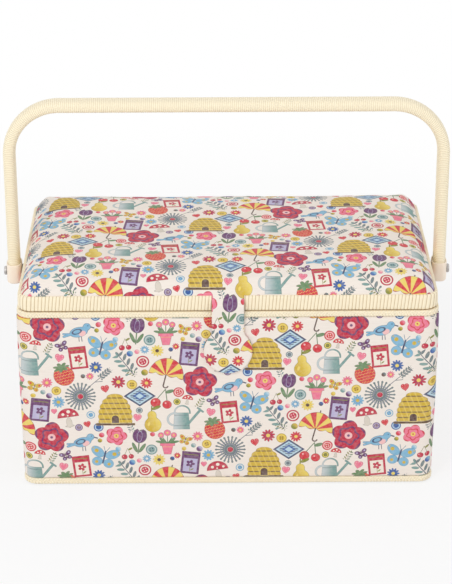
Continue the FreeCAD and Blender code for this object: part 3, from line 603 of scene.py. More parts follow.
GARDEN = (
    Stamp(draw_daisy, 119.5, 101.0, 6.6, 12, Dye.RASPBERRY, Dye.LEMON, Dye.PURPLE),
    Stamp(draw_ring, 6.0, 65.5, 6.0, 25, Dye.RASPBERRY, Dye.CREAM, Dye.BLUSH),
    Stamp(draw_butterfly, 43.5, 97.0, 6.4, -20, Dye.MUSTARD, Dye.RED, Dye.BROWN),
    Stamp(draw_daisy, 99.5, 4.0, 6.0, 0, Dye.BLUE, Dye.LEMON, Dye.NAVY),
    Stamp(draw_heart, 107.5, 93.6, 4.6, 10, Dye.RED, Dye.BLUSH, Dye.RASPBERRY),
    Stamp(draw_cherries, 126.0, 27.0, 6.4, 8, Dye.RASPBERRY, Dye.BLUSH, Dye.OLIVE),
    Stamp(draw_ring, 12.5, 87.0, 5.4, 10, Dye.TEAL, Dye.SILVER, Dye.NAVY),
    Stamp(draw_daisy, 9.0, 43.8, 5.6, 20, Dye.RED, Dye.LEMON, Dye.RASPBERRY),
    Stamp(draw_sprig, 57.5, 23.0, 6.6, -30, Dye.OLIVE, Dye.GREEN, Dye.BROWN),
    Stamp(draw_toadstool, 46.0, 26.8, 5.6, -8, Dye.RED, Dye.CREAM, Dye.BROWN),
    Stamp(draw_sprig, 129.5, 55.0, 6.6, 20, Dye.SLATE, Dye.TEAL, Dye.NAVY),
    Stamp(draw_ring, 131.8, 98.3, 4.9, 0, Dye.MUSTARD, Dye.LEMON, Dye.BROWN),
    Stamp(draw_heart, 0.0, 8.0, 4.6, -8, Dye.PINK, Dye.CREAM, Dye.RASPBERRY),
    Stamp(draw_daisy, 8.0, 77.5, 4.2, 0, Dye.SKY, Dye.CREAM, Dye.BLUE),
    Stamp(draw_ring, 82.5, 54.6, 3.6, 0, Dye.PURPLE, Dye.LAVENDER, Dye.CREAM),
    Stamp(draw_dot, 7.5, 54.5, 3.2, 0, Dye.OLIVE, Dye.MUSTARD, Dye.OLIVE),
    Stamp(draw_daisy, 94.0, 107.0, 3.8, 0, Dye.PINK, Dye.LEMON, Dye.RED),
    Stamp(draw_ring, 2.0, 15.8, 3.2, 0, Dye.SLATE, Dye.SILVER, Dye.NAVY),
    Stamp(draw_dot, 130.5, 17.6, 3.0, 0, Dye.BLUE, Dye.SKY, Dye.NAVY),
    Stamp(draw_ring, 36.4, 24.5, 3.4, 0, Dye.OLIVE, Dye.LEMON, Dye.BROWN),
    Stamp(draw_daisy, 36.0, 80.6, 3.4, 0, Dye.RED, Dye.LEMON, Dye.RASPBERRY),
    Stamp(draw_dot, 56.5, 87.5, 2.9, 0, Dye.PURPLE, Dye.LAVENDER, Dye.PURPLE),
    Stamp(draw_dot, 103.0, 46.5, 2.6, 0, Dye.RED, Dye.PINK, Dye.RED),
    Stamp(draw_heart, 60.4, 71.0, 3.4, 0, Dye.PINK, Dye.BLUSH, Dye.RASPBERRY),
    Stamp(draw_dot, 31.4, 77.5, 2.2, 0, Dye.NAVY, Dye.BLUE, Dye.NAVY),
    Stamp(draw_dot, 13.6, 103.0, 2.4, 0, Dye.RED, Dye.PINK, Dye.RED),
    Stamp(draw_dot, 101.3, 40.8, 2.2, 0, Dye.OLIVE, Dye.MUSTARD, Dye.OLIVE),
    Stamp(draw_dot, 117.9, 31.8, 2.6, 0, Dye.SKY, Dye.PALE_SKY, Dye.SKY),
    Stamp(draw_dot, 42.3, 87.8, 2.2, 0, Dye.MUSTARD, Dye.LEMON, Dye.MUSTARD),
    Stamp(draw_dot, 51.0, 91.2, 2.4, 0, Dye.TEAL, Dye.SILVER, Dye.TEAL),
    Stamp(draw_dot, 87.7, 107.1, 2.2, 0, Dye.BROWN, Dye.SLATE, Dye.BROWN),
    Stamp(draw_dot, 1.0, 75.5, 2.4, 0, Dye.PINK, Dye.BLUSH, Dye.PINK),
    Stamp(draw_ring, 38.0, 34.3, 5.0, 15, Dye.RED, Dye.BLUSH, Dye.CREAM),
    Stamp(draw_ring, 100.5, 54.7, 4.6, 40, Dye.BLUE, Dye.PALE_SKY, Dye.NAVY),
    Stamp(draw_ring, 4.4, 104.1, 4.0, 0, Dye.BROWN, Dye.SILVER, Dye.CREAM),
    Stamp(draw_ring, 63.2, 92.5, 4.5, 20, Dye.MUSTARD, Dye.LEMON, Dye.BROWN),
    Stamp(draw_ring, 93.7, 67.5, 4.0, 30, Dye.SKY, Dye.CREAM, Dye.BLUE),
    Stamp(draw_heart, 66.9, 13.0, 5.0, -12, Dye.PINK, Dye.CREAM, Dye.RASPBERRY),
    Stamp(draw_heart, 90.4, 57.4, 4.0, 14, Dye.RED, Dye.BLUSH, Dye.RASPBERRY),
    Stamp(draw_daisy, 19.2, 76.3, 6.0, 10, Dye.LEMON, Dye.BROWN, Dye.MUSTARD),
    Stamp(draw_daisy, 64.7, 80.8, 6.0, 30, Dye.SKY, Dye.MUSTARD, Dye.BLUE),
    Stamp(draw_daisy, 54.9, 100.7, 5.2, 5, Dye.PINK, Dye.LEMON, Dye.RASPBERRY),
    Stamp(draw_sprig, 131.2, 110.7, 6.4, 65, Dye.OLIVE, Dye.GREEN, Dye.BROWN),
    Stamp(draw_butterfly, 69.7, 25.3, 6.2, 24, Dye.PURPLE, Dye.LAVENDER, Dye.BROWN),
    Stamp(draw_blossom, 116.4, 45.5, 10.2, 0, Dye.PINK, Dye.LEMON, Dye.RED),
    Stamp(draw_cherries, 22.7, 28.5, 11.0, -8, Dye.RED, Dye.BLUSH, Dye.GREEN),
    Stamp(draw_toadstool, 73.1, 65.3, 11.0, 8, Dye.RASPBERRY, Dye.CREAM, Dye.BROWN),
    Stamp(draw_wheat, 103.4, 105.6, 13.4, -48, Dye.SLATE, Dye.SILVER, Dye.NAVY),
    Stamp(draw_sprig, 125.8, 7.7, 14.2, 35, Dye.TEAL, Dye.SLATE, Dye.NAVY),
    Stamp(draw_pot, 27.2, 94.6, 13.4, 0, Dye.PINK, Dye.LEMON, Dye.GREEN),
    Stamp(draw_clock, 84.8, 86.5, 14.2, 0, Dye.SLATE, Dye.LAVENDER, Dye.RASPBERRY),
    Stamp(draw_diamond, 2.6, 30.5, 14.8, 0, Dye.NAVY, Dye.PALE_SKY, Dye.BLUE),
    Stamp(draw_bird, 85.6, 40.3, 14.2, -4, Dye.SKY, Dye.BLUSH, Dye.NAVY),
    Stamp(draw_packet, 83.9, 13.7, 11.7, 6, Dye.RASPBERRY, Dye.CREAM, Dye.OLIVE),
    Stamp(draw_packet, 48.0, 72.9, 12.3, -6, Dye.PURPLE, Dye.LAVENDER, Dye.OLIVE),
    Stamp(draw_tulip, 1.3, 96.0, 13.4, -6, Dye.PURPLE, Dye.GREEN, Dye.LAVENDER),
    Stamp(draw_strawberry, 70.6, 107.8, 12.3, 16, Dye.RED, Dye.LEMON, Dye.GREEN),
    Stamp(draw_butterfly, 104.9, 23.5, 14.0, -14, Dye.SKY, Dye.MUSTARD, Dye.NAVY),
    Stamp(draw_pear, 13.6, 6.8, 14.0, 6, Dye.MUSTARD, Dye.LEMON, Dye.OLIVE),
    Stamp(draw_can, 42.8, 8.5, 17.4, 0, Dye.TEAL, Dye.SILVER, Dye.SLATE),
    Stamp(draw_parasol, 27.4, 54.4, 16.3, -14, Dye.RED, Dye.LEMON, Dye.BROWN),
    Stamp(draw_blossom, 57.2, 44.4, 16.1, 12, Dye.RASPBERRY, Dye.BLUSH, Dye.PURPLE),
    Stamp(draw_skep, 116.0, 73.8, 18.4, 0, Dye.MUSTARD, Dye.LEMON, Dye.BROWN),
)


@dataclass(frozen=True)
class Repeat:
    """Half-drop repeat of the print, in millimetres of cloth."""

    width: float = 136.0
    height: float = 112.0
    edge: float = 0.22
    ink_width: float = 0.55
    ink_strength: float = 0.34
    ink: Colour = (0.02, 0.015, 0.03, 1.0)
    carry: float = 1e-9

    def place_tree(self) -> bpy.types.NodeTree:
        """Node group that finds the nearest copy of a motif and gives the place on it."""

        def build(net: Net, ins: dict[str, Wire]) -> dict[str, Wire]:
            """Place on the motif, in half sizes."""
            across = ins["U"] - ins["Centre X"]
            column = (across / self.width + 0.5).floor()
            dx = across - column * self.width
            drop = ins["V"] - ins["Centre Y"] - column * (self.height / 2)
            dy = drop.wrap(-self.height / 2, self.height / 2)
            x = (dx * ins["Cosine"] + dy * ins["Sine"]) / ins["Size"]
            y = (dy * ins["Cosine"] - dx * ins["Sine"]) / ins["Size"]
            return {"X": x, "Y": y}

        names = ("U", "V", "Centre X", "Centre Y", "Cosine", "Sine", "Size")
        inputs = {name: 1.0 for name in names}
        return group_of("print_repeat", inputs, {"X": "Float", "Y": "Float"}, build)

    def lay_tree(self) -> bpy.types.NodeTree:
        """Node group that lays one motif on the cloth with a soft inked edge.

        It hands the place across on to the next motif, so that the motifs are laid one after another.
        """

        def build(net: Net, ins: dict[str, Wire]) -> dict[str, Wire]:
            """Colour of the cloth with the motif on it."""
            depth = ins["Depth"] * ins["Size"]
            ink = 1.0 - depth.rise(self.edge, self.ink_width)
            inked = net.mix(ink * self.ink_strength, ins["Paint"], self.ink)
            colour = net.mix(depth.rise(0.0, self.edge), ins["Under"], inked)
            return {"Color": colour, "U": net.math("MULTIPLY_ADD", colour, self.carry, ins["U"])}

        inputs = {"Depth": 0.0, "Size": 1.0, "Under": GREY, "Paint": GREY, "U": 0.0}
        return group_of("print_lay", inputs, {"Color": "Color", "U": "Float"}, build)

    def print_on(self, net: Net, across: Wire, up: Wire, ground: object) -> Wire:
        """Colour of the printed cloth.

        Args:
            net: the tree to draw in.
            across: place across the cloth in millimetres.
            up: place up the cloth in millimetres.
            ground: the cloth's own colour.

        Returns:
            The colour, with every motif of the repeat laid on.
        """
        colour = ground
        for stamp in GARDEN:
            turn = math.radians(stamp.turn)
            at = net.use(
                self.place_tree(), u=across, v=up, centre_x=stamp.x, centre_y=stamp.y,
                cosine=math.cos(turn), sine=math.sin(turn), size=stamp.size,
            )
            drawn = net.use(
                motif_tree(stamp.draw), x=at["X"], y=at["Y"],
                main=stamp.main.value, accent=stamp.accent.value, dark=stamp.dark.value,
            )
            laid = net.use(
                self.lay_tree(), depth=drawn["Depth"], size=stamp.size, under=colour, paint=drawn["Color"],
                u=across,
            )
            colour, across = laid["Color"], laid["U"]
        return colour


# Finishes


def weave_tree() -> bpy.types.NodeTree:
    """Node group of a plain weave: the height of the threads and a slight change of tone, partly from slubs
    and partly painted shade where the threads dip.
    """

    def build(net: Net, ins: dict[str, Wire]) -> dict[str, Wire]:
        """Crossing threads, with slubs."""
        x, y, _ = net.split(ins["Place"])
        warp = (x * ins["Density"]).sin()
        weft = (y * ins["Density"]).sin()
        slub = net.clouds(net.join(x * 0.09, y * 1.4), 1.0, 2.0)
        height = abs(warp) * 0.5 + abs(weft) * 0.5 + warp * weft * 0.25 + slub * 0.3
        # Tone: the slubs vary it for real; the thread height adds painted shade in the dips between threads.
        return {"Height": height, "Tone": slub * 0.6 + height * 0.4}

    inputs = {"Place": (0.0, 0.0, 0.0), "Density": 7.0}
    return group_of("cloth_weave", inputs, {"Height": "Float", "Tone": "Float"}, build)


def wear_tree() -> bpy.types.NodeTree:
    """Node group of handling marks: a colour slightly darkened in soft clouds, and a matching mask."""

    def build(net: Net, ins: dict[str, Wire]) -> dict[str, Wire]:
        """Soft clouds over fine specks."""
        clouds = net.clouds(ins["Place"], 0.045, 3.0, 0.6).rise(0.3, 0.75)
        specks = net.clouds(ins["Place"], 1.7, 2.0, 0.6).rise(0.55, 0.8)
        mask = clouds * 0.7 + specks * 0.3
        return {"Color": net.mix(mask * ins["Amount"], ins["Base"], ins["Soil"]), "Mask": mask}

    inputs = {"Place": (0.0, 0.0, 0.0), "Base": GREY, "Soil": GREY, "Amount": 0.2}
    return group_of("handling_marks", inputs, {"Color": "Color", "Mask": "Float"}, build)


def whip_tree() -> bpy.types.NodeTree:
    """Node group of wound strip: painted shade in the valleys between the turns, streaks along them."""

    def build(net: Net, ins: dict[str, Wire]) -> dict[str, Wire]:
        """Mask of the painted valley shade, streaks and height from the place along and across the turns."""
        x, y, _ = net.split(ins["Place"])
        turn = x / ins["Pitch"]
        ridge = abs((turn * math.pi).sin())
        uneven = net.clouds(net.join(turn.floor() * 0.37, y * 0.04), 3.1, 2.0)
        streak = net.clouds(net.join(x * 3.0, y * 0.25), 1.0, 3.0)
        # Painted shade: darkest where the strip dips between two turns.
        valley = 1.0 - ridge.rise(0.0, 0.55)
        return {
            "Valley": valley * ((uneven - 0.5) * ins["Uneven"] + 0.85),
            "Streak": streak * 0.5 + uneven * 0.5,
            "Height": ridge.root() + streak * ins["Uneven"] * 0.25,
        }

    inputs = {"Place": (0.0, 0.0, 0.0), "Pitch": 1.9, "Uneven": 1.0}
    return group_of("wound_strip", inputs, {name: "Float" for name in ("Valley", "Streak", "Height")}, build)


@dataclass(frozen=True)
class Finish:
    """Surface of a piece: a material with its own nodes."""

    name: str
    colour: Colour
    shade: Colour
    roughness: float
    source: Source = Source.FRAME
    bump: float = 0.3
    bump_depth: float = 0.1
    sheen: float = 0.0
    metallic: float = 0.0

    def pattern(self, net: Net, place: Wire) -> dict[str, Wire]:
        """Varying inputs of the surface, by name: Color, Roughness and Height."""
        raise NotImplementedError

    def material(self) -> bpy.types.Material:
        """Material of this finish, made the first time that it is asked for."""
        if self.name in bpy.data.materials:
            return bpy.data.materials[self.name]
        made = bpy.data.materials.new(self.name)
        made.use_nodes = True
        made.diffuse_color = self.colour
        net = Net(made.node_tree)
        surface = made.node_tree.nodes["Principled BSDF"]
        scale = net.node("VectorMath", operation="SCALE")
        net.feed(scale.inputs[0], net.place(self.source))
        scale.inputs["Scale"].default_value = 1 / MM
        varied = self.pattern(net, Wire(net, scale.outputs[0]))
        net.feed(surface.inputs["Base Color"], varied["Color"])
        net.feed(surface.inputs["Roughness"], varied["Roughness"])
        bump = net.node("Bump")
        bump.inputs["Strength"].default_value = self.bump
        bump.inputs["Distance"].default_value = self.bump_depth * MM
        net.feed(bump.inputs["Height"], varied["Height"])
        net.feed(surface.inputs["Normal"], Wire(net, bump.outputs[0]))
        for label, value in (
            ("Metallic", self.metallic), ("Sheen Weight", self.sheen), ("Sheen Roughness", 0.5),
        ):
            surface.inputs[label].default_value = value
        return made


@dataclass(frozen=True)
class Cotton(Finish):
    """Plain woven cotton."""

    density: float = 7.0

    def ground(self, net: Net, place: Wire) -> object:
        """Colour of the cloth before its threads."""
        return self.colour

    def pattern(self, net: Net, place: Wire) -> dict[str, Wire]:
        """Threads over the cloth's own colour, darkened by slub tone and by painted shade between the
        threads.
        """
        weave = net.use(weave_tree(), place=place, density=self.density)
        tone_and_shade = weave["Tone"].rise(0.15, 0.95)
        # Painted shade in part: the cloth darkens where the threads dip, as well as with the slubs.
        colour = net.mix((1.0 - tone_and_shade) * 0.3, self.ground(net, place), self.shade, "MULTIPLY")
        return {"Color": colour, "Roughness": tone_and_shade * 0.1 + (self.roughness - 0.05), "Height": weave["Height"]}


@dataclass(frozen=True)
class PrintedCotton(Cotton):
    """Cotton with the garden print, whose paints thin out in washes."""

    def ground(self, net: Net, place: Wire) -> object:
        """The print, with uneven washes of paint."""
        x, y, _ = net.split(place)
        printed = Repeat().print_on(net, x, y, self.colour)
        wash = net.clouds(place, 0.32, 3.0, 0.6).rise(0.3, 0.75)
        return net.mix(wash * 0.16, printed, self.colour)


@dataclass(frozen=True)
class Wound(Finish):
    """Strip wound or whipped in close turns, with shade painted into the valleys between them."""

    pitch: float = 1.9
    # Colour and strength of the shade painted into the valleys between the turns.
    valley: Colour = dye(186, 156, 108)
    valley_strength: float = 0.65
    uneven: float = 0.8

    def pattern(self, net: Net, place: Wire) -> dict[str, Wire]:
        """Turns with painted shade in their valleys."""
        whip = net.use(whip_tree(), place=place, pitch=self.pitch, uneven=self.uneven)
        colour = net.mix(whip["Streak"] * (self.uneven * 0.45), self.colour, self.shade)
        # Painted shade: the valleys are darkened towards the valley colour.
        colour = net.mix(whip["Valley"] * self.valley_strength, colour, self.valley)
        return {"Color": colour, "Roughness": whip["Streak"] * 0.2 + self.roughness, "Height": whip["Height"]}


@dataclass(frozen=True)
class Moulded(Finish):
    """Moulded plastic with a fine grain and handling marks."""

    grain: float = 1.4

    def pattern(self, net: Net, place: Wire) -> dict[str, Wire]:
        """Grain, with marks that dull it."""
        marks = net.use(wear_tree(), place=place, base=self.colour, soil=self.shade, amount=0.35)
        grain = net.clouds(place, self.grain, 3.0, 0.6)
        return {"Color": marks["Color"], "Roughness": marks["Mask"] * 0.16 + self.roughness, "Height": grain}


@dataclass(frozen=True)
class Board(Finish):
    """Pressed board, card or paper with visible fibres."""

    fibre: float = 0.5

    def pattern(self, net: Net, place: Wire) -> dict[str, Wire]:
        """Fibres in two sizes."""
        x, y, z = net.split(place)
        fibres = net.clouds(net.join(x * 2.2, y * 0.6, z * 0.8), self.fibre, 4.0, 0.7)
        flecks = net.clouds(place, self.fibre * 4.0, 2.0).rise(0.58, 0.7)
        colour = net.mix(fibres.rise(0.25, 0.75), self.colour, self.shade)
        colour = net.mix(flecks * 0.3, colour, self.shade)
        return {"Color": colour, "Roughness": fibres * 0.15 + self.roughness, "Height": fibres}


@dataclass(frozen=True)
class Plated(Finish):
    """Plated metal with fine scratches."""

    def pattern(self, net: Net, place: Wire) -> dict[str, Wire]:
        """Brushed lines and dull clouds."""
        x, y, z = net.split(place)
        lines = net.clouds(net.join(x * 0.3, y * 4.0, z * 4.0), 1.0, 3.0)
        marks = net.use(wear_tree(), place=place, base=self.colour, soil=self.shade, amount=0.5)
        rough = lines * 0.18 + marks["Mask"] * 0.15 + self.roughness
        return {"Color": marks["Color"], "Roughness": rough, "Height": lines}


WHIP_PITCH = 3.1
GRIP_PITCH = 1.75

# Every cotton finish darkens a little between its threads as painted shade, besides its slub tone.
PRINT = PrintedCotton("printed_cotton", dye(246, 237, 228), dye(216, 206, 198), 0.86,
                      Source.CLOTH, 0.25, 0.12, 0.1)
LINING = Cotton("lining_cotton", dye(244, 232, 212), dye(214, 200, 182), 0.88, Source.CLOTH, 0.3, 0.12, 0.12)
VELVET = Cotton("cushion_velvet", dye(200, 52, 84), dye(150, 60, 80), 0.9, Source.CLOTH, 0.3, 0.12, 0.5,
                density=9.0)
# The elastic, whipped band, grip and braid get painted shade in the valleys between their turns.
ELASTIC = Wound("pocket_elastic_band", dye(240, 230, 212), dye(196, 182, 164), 0.8, Source.CLOTH, pitch=1.1)
WHIP = Wound("whipped_band_strip", dye(255, 243, 215), dye(245, 228, 192), 0.5,
             Source.CLOTH, 0.35, 0.15, 0.05, pitch=WHIP_PITCH, valley_strength=0.95)
GRIP = Wound("wound_grip", dye(255, 244, 216), dye(246, 230, 195), 0.42, Source.CLOTH, 0.3, 0.12, 0.05,
             pitch=GRIP_PITCH, valley_strength=0.6, uneven=0.3)
BRAID = Wound("braided_strip", dye(255, 244, 218), dye(245, 229, 194), 0.55, Source.CLOTH, 0.3, 0.1, 0.05,
              pitch=0.7, valley_strength=0.25)
CAP = Moulded("cap_moulding", dye(255, 241, 223), dye(248, 229, 210), 0.42, bump=0.08, bump_depth=0.05)
BUSH = Moulded("bush_moulding", dye(150, 144, 140), dye(116, 110, 108), 0.45, bump=0.1, bump_depth=0.05)
CORE = Moulded("core_moulding", dye(226, 220, 206), dye(204, 198, 184), 0.5, bump=0.1, bump_depth=0.05)
TRAY = Moulded("tray_moulding", dye(244, 236, 222), dye(228, 216, 198), 0.38, bump=0.1, bump_depth=0.04,
               grain=2.4)
FIBRE = Board("pressed_board", dye(196, 170, 136), dye(164, 136, 102), 0.85, bump=0.4, bump_depth=0.15)
PAPER = Board("foot_paper", dye(226, 214, 192), dye(208, 194, 170), 0.8, bump=0.3, bump_depth=0.1, fibre=0.8)
CARD = Board("tab_card", dye(206, 196, 178), dye(182, 170, 150), 0.85, bump=0.3, bump_depth=0.1)
SCREW = Plated("screw_nickel", dye(198, 194, 192), dye(140, 134, 132), 0.34, bump=0.1, bump_depth=0.03,
               metallic=0.9)
STEEL = Plated("nickel_steel", dye(206, 204, 200), dye(150, 146, 142), 0.24, bump=0.1, bump_depth=0.03,
               metallic=1.0)


# Meshes


Place = Callable[[float, float], Vector]
Cloth = Callable[[float, float], Point]
Track = Callable[[float], tuple[Vector, Vector, Vector]]
UP = Vector((0, 0, 1))


def stand(name: str, data: bpy.types.ID) -> bpy.types.Object:
    """New object of the scene."""
    made = bpy.data.objects.new(name, data)
    bpy.context.scene.collection.objects.link(made)
    return made


def runs_of(points: Sequence[Point]) -> list[float]:
    """Length of a line of points up to each of them."""
    runs = [0.0]
    for (x, y), (last_x, last_y) in zip(points[1:], points):
        runs.append(runs[-1] + math.hypot(x - last_x, y - last_y))
    return runs


@dataclass(frozen=True)
class Ring:
    """Rounded rectangle, walked from the right end of the back round the left, front and right."""

    half_x: float
    half_y: float
    radius: float

    def parts(self) -> list[float]:
        """Lengths of the sides and corners, in the order of the walk."""
        corner = TAU / 4 * self.radius
        long = 2 * (self.half_x - self.radius)
        short = 2 * (self.half_y - self.radius)
        return [long, corner, short, corner] * 2

    def length(self) -> float:
        """Length all the way round."""
        return sum(self.parts())

    def on_part(self, part: int, share: float) -> tuple[Vector, Vector]:
        """Point and outward direction a share of the way along one side or corner."""
        reach_x, reach_y = self.half_x - self.radius, self.half_y - self.radius
        side_x, side_y = ((1, 1), (-1, 1), (-1, 1), (-1, -1), (-1, -1), (1, -1), (1, -1), (1, 1))[part]
        if part % 2:
            angle = TAU / 4 * ((part + 1) // 2 + share)
            out = Vector((math.cos(angle), math.sin(angle), 0))
            return Vector((side_x * reach_x, side_y * reach_y, 0)) + out * self.radius, out
        left = 1 - 2 * share
        if part in (0, 4):
            return Vector((side_x * reach_x * left, side_y * self.half_y, 0)), Vector((0, side_y, 0))
        return Vector((side_x * self.half_x, side_y * reach_y * left, 0)), Vector((side_x, 0, 0))

    def along(self, distance: float) -> tuple[Vector, Vector]:
        """Point and outward direction at a distance round the walk."""
        left = distance % self.length()
        parts = self.parts()
        part = 0
        while left > parts[part] and part < len(parts) - 1:
            left -= parts[part]
            part += 1
        return self.on_part(part, min(left / parts[part], 1.0))

    def to_front(self) -> float:
        """Distance from the start of the walk to the middle of the front."""
        parts = self.parts()
        return sum(parts[:4]) + parts[4] / 2


class Sculpt:
    """Mesh under construction, with its cloth coordinates."""

    def __init__(self) -> None:
        """Start empty."""
        self.mesh = bmesh.new()
        self.cloth = self.mesh.loops.layers.uv.new("cloth")

    def patch(self, columns: int, rows: int, place: Place, cloth: Cloth) -> list[bmesh.types.BMVert]:
        """Grid of faces laid on a surface.

        Args:
            columns: faces across.
            rows: faces up.
            place: point of the surface at shares across and up.
            cloth: cloth coordinates there, in metres.

        Returns:
            The new vertices.
        """
        grid = bmesh.ops.create_grid(self.mesh, x_segments=columns, y_segments=rows, size=0.5)["verts"]
        shares = {vert: (vert.co.x + 0.5, vert.co.y + 0.5) for vert in grid}
        for face in {face for vert in grid for face in vert.link_faces}:
            for loop in face.loops:
                loop[self.cloth].uv = cloth(*shares[loop.vert])
        for vert, share in shares.items():
            vert.co = place(*share)
        return grid

    def weld(self, reach: float = 1e-6) -> None:
        """Join vertices that lie on each other."""
        bmesh.ops.remove_doubles(self.mesh, verts=self.mesh.verts, dist=reach)

    def close(self) -> None:
        """Fill the open ends and turn every face outwards."""
        open_edges = [edge for edge in self.mesh.edges if edge.is_boundary]
        if open_edges:
            bmesh.ops.holes_fill(self.mesh, edges=open_edges, sides=0)
        bmesh.ops.recalc_face_normals(self.mesh, faces=self.mesh.faces)

    def thicken(self, depth: float) -> None:
        """Give an open sheet a thickness, away from the side that it shows."""
        bmesh.ops.solidify(self.mesh, geom=self.mesh.faces[:], thickness=depth)

    def sweep(self, ring: Ring, section: Sequence[Point], columns: int,
              lift: Optional[Callable[[float, int], float]] = None,
              span: Optional[tuple[float, float]] = None,
              wind: Optional[Callable[[float, int], float]] = None) -> None:
        """Closed section carried round a ring.

        Args:
            ring: the walk.
            section: points of the section as outset and height; it closes on itself.
            columns: faces round the walk.
            lift: extra outset at a distance round the walk, for each row of the section.
            span: start and length of an open walk; the whole ring if left out.
            wind: cloth coordinate along the walk, for each row; the distance if left out.
        """
        start, length = span or (0.0, ring.length())
        rows = list(section) + [section[0]]
        runs = runs_of(rows)
        count = len(section)

        def place(u: float, v: float) -> Vector:
            """Point of the swept surface."""
            row = round(v * count)
            distance = start + u * length
            point, out = ring.along(distance)
            outset, up = rows[row]
            extra = lift(distance, row % count) if lift else 0.0
            return point + out * (outset + extra) + UP * up

        def cloth(u: float, v: float) -> Point:
            """Distance round the walk and round the section."""
            row = round(v * count)
            distance = start + u * length
            return wind(distance, row % count) if wind else distance, runs[row]

        self.patch(columns, count, place, cloth)
        self.weld()

    def tube(self, path: Track, length: float, columns: int, sides: int,
             reach: Callable[[float, float], Point],
             wind: Optional[Callable[[float, float], float]] = None) -> None:
        """Tube along a path.

        Args:
            path: middle point and two cross directions at a distance along the path.
            length: length of the path.
            columns: faces along the path.
            sides: faces round the tube.
            reach: half sizes along the cross directions, at a distance and an angle.
            wind: cloth coordinate along the path at a distance and an angle; the distance if left out.
        """
        girth = TAU * reach(0.0, 0.0)[0]

        def place(u: float, v: float) -> Vector:
            """Point of the tube's surface."""
            middle, first, second = path(u * length)
            angle = TAU * (round(v * sides) % sides) / sides
            half_first, half_second = reach(u * length, angle)
            off = second * (half_second * math.sin(angle))
            return middle + first * (half_first * math.cos(angle)) + off

        def cloth(u: float, v: float) -> Point:
            """Place along the path and round the tube."""
            return wind(u * length, TAU * v) if wind else u * length, v * girth

        self.patch(columns, sides, place, cloth)

    def finish(self, name: str, finish: Finish, body: str, slot: str,
               replaces: Sequence[str] = ()) -> bpy.types.Object:
        """Close the mesh and turn it into a piece that rides on a body.

        Args:
            name: the piece's name.
            finish: its surface.
            body: the body that it moves with; empty for a piece that rides on no body.
            slot: the record's material slot; not used.
            replaces: solids that it stands for.

        Returns:
            The new object.
        """
        self.close()
        data = bpy.data.meshes.new(name)
        for face in self.mesh.faces:
            face.smooth = True
        self.mesh.to_mesh(data)
        self.mesh.free()
        piece = stand(name, data)
        data.materials.append(finish.material())
        if replaces:
            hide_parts(*replaces)
        if body:
            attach(piece, body)
        LOG.info("%s: %d faces", name, len(data.polygons))
        return piece


def rounded(angle: float, power: float) -> float:
    """Stretch that turns a circle into a rounded square."""
    return (abs(math.cos(angle)) ** power + abs(math.sin(angle)) ** power) ** (-1 / power)


def ruffle(place: Vector, scale: float) -> float:
    """Soft random height from about -1 to 1, in waves of about a scale."""
    return noise.noise(place / scale)


@dataclass(frozen=True)
class Stuffing:
    """Filling of a padded piece, blown up as cloth and left as it settles."""

    pressure: float = 4.0
    slack: float = 0.01
    reach: float = 2.2 * MM
    frames: int = 20
    stiffness: float = 0.1

    def fill(self, piece: bpy.types.Object, free: Callable[[Vector], float]) -> None:
        """Simulate the piece and keep the shape that it takes.

        Args:
            piece: closed mesh, a little smaller than the stuffed one.
            free: share of its movement that a point keeps; the cloth is held where this is 0.
        """
        shares = [free(vert.co) for vert in piece.data.vertices]
        held = piece.vertex_groups.new(name="held")
        held.add([index for index, share in enumerate(shares) if share <= 0.0], 1.0, "REPLACE")
        cloth = piece.modifiers.new("stuffing", "CLOTH")
        cloth.point_cache.frame_end = self.frames
        cloth.collision_settings.use_collision = False
        cloth.settings.vertex_group_mass = held.name
        cloth.settings.effector_weights.gravity = 0.0
        cloth.settings.use_pressure = True
        cloth.settings.uniform_pressure_force = self.pressure
        cloth.settings.shrink_min = -self.slack
        cloth.settings.bending_stiffness = self.stiffness
        for number in range(1, self.frames + 1):
            bpy.context.scene.frame_set(number)
        settled = piece.evaluated_get(bpy.context.evaluated_depsgraph_get()).data
        moves = [new.co - old.co for new, old in zip(settled.vertices, piece.data.vertices)]
        for vert, move, share in zip(piece.data.vertices, moves, shares):
            vert.co += move * (share * self.reach / (self.reach + move.length))
        piece.modifiers.remove(cloth)
        piece.vertex_groups.remove(held)
        bpy.context.scene.frame_set(1)
        LOG.info("%s: settled, farthest %.2f mm", piece.name, max(move.length for move in moves) / MM)


# Sub-assemblies


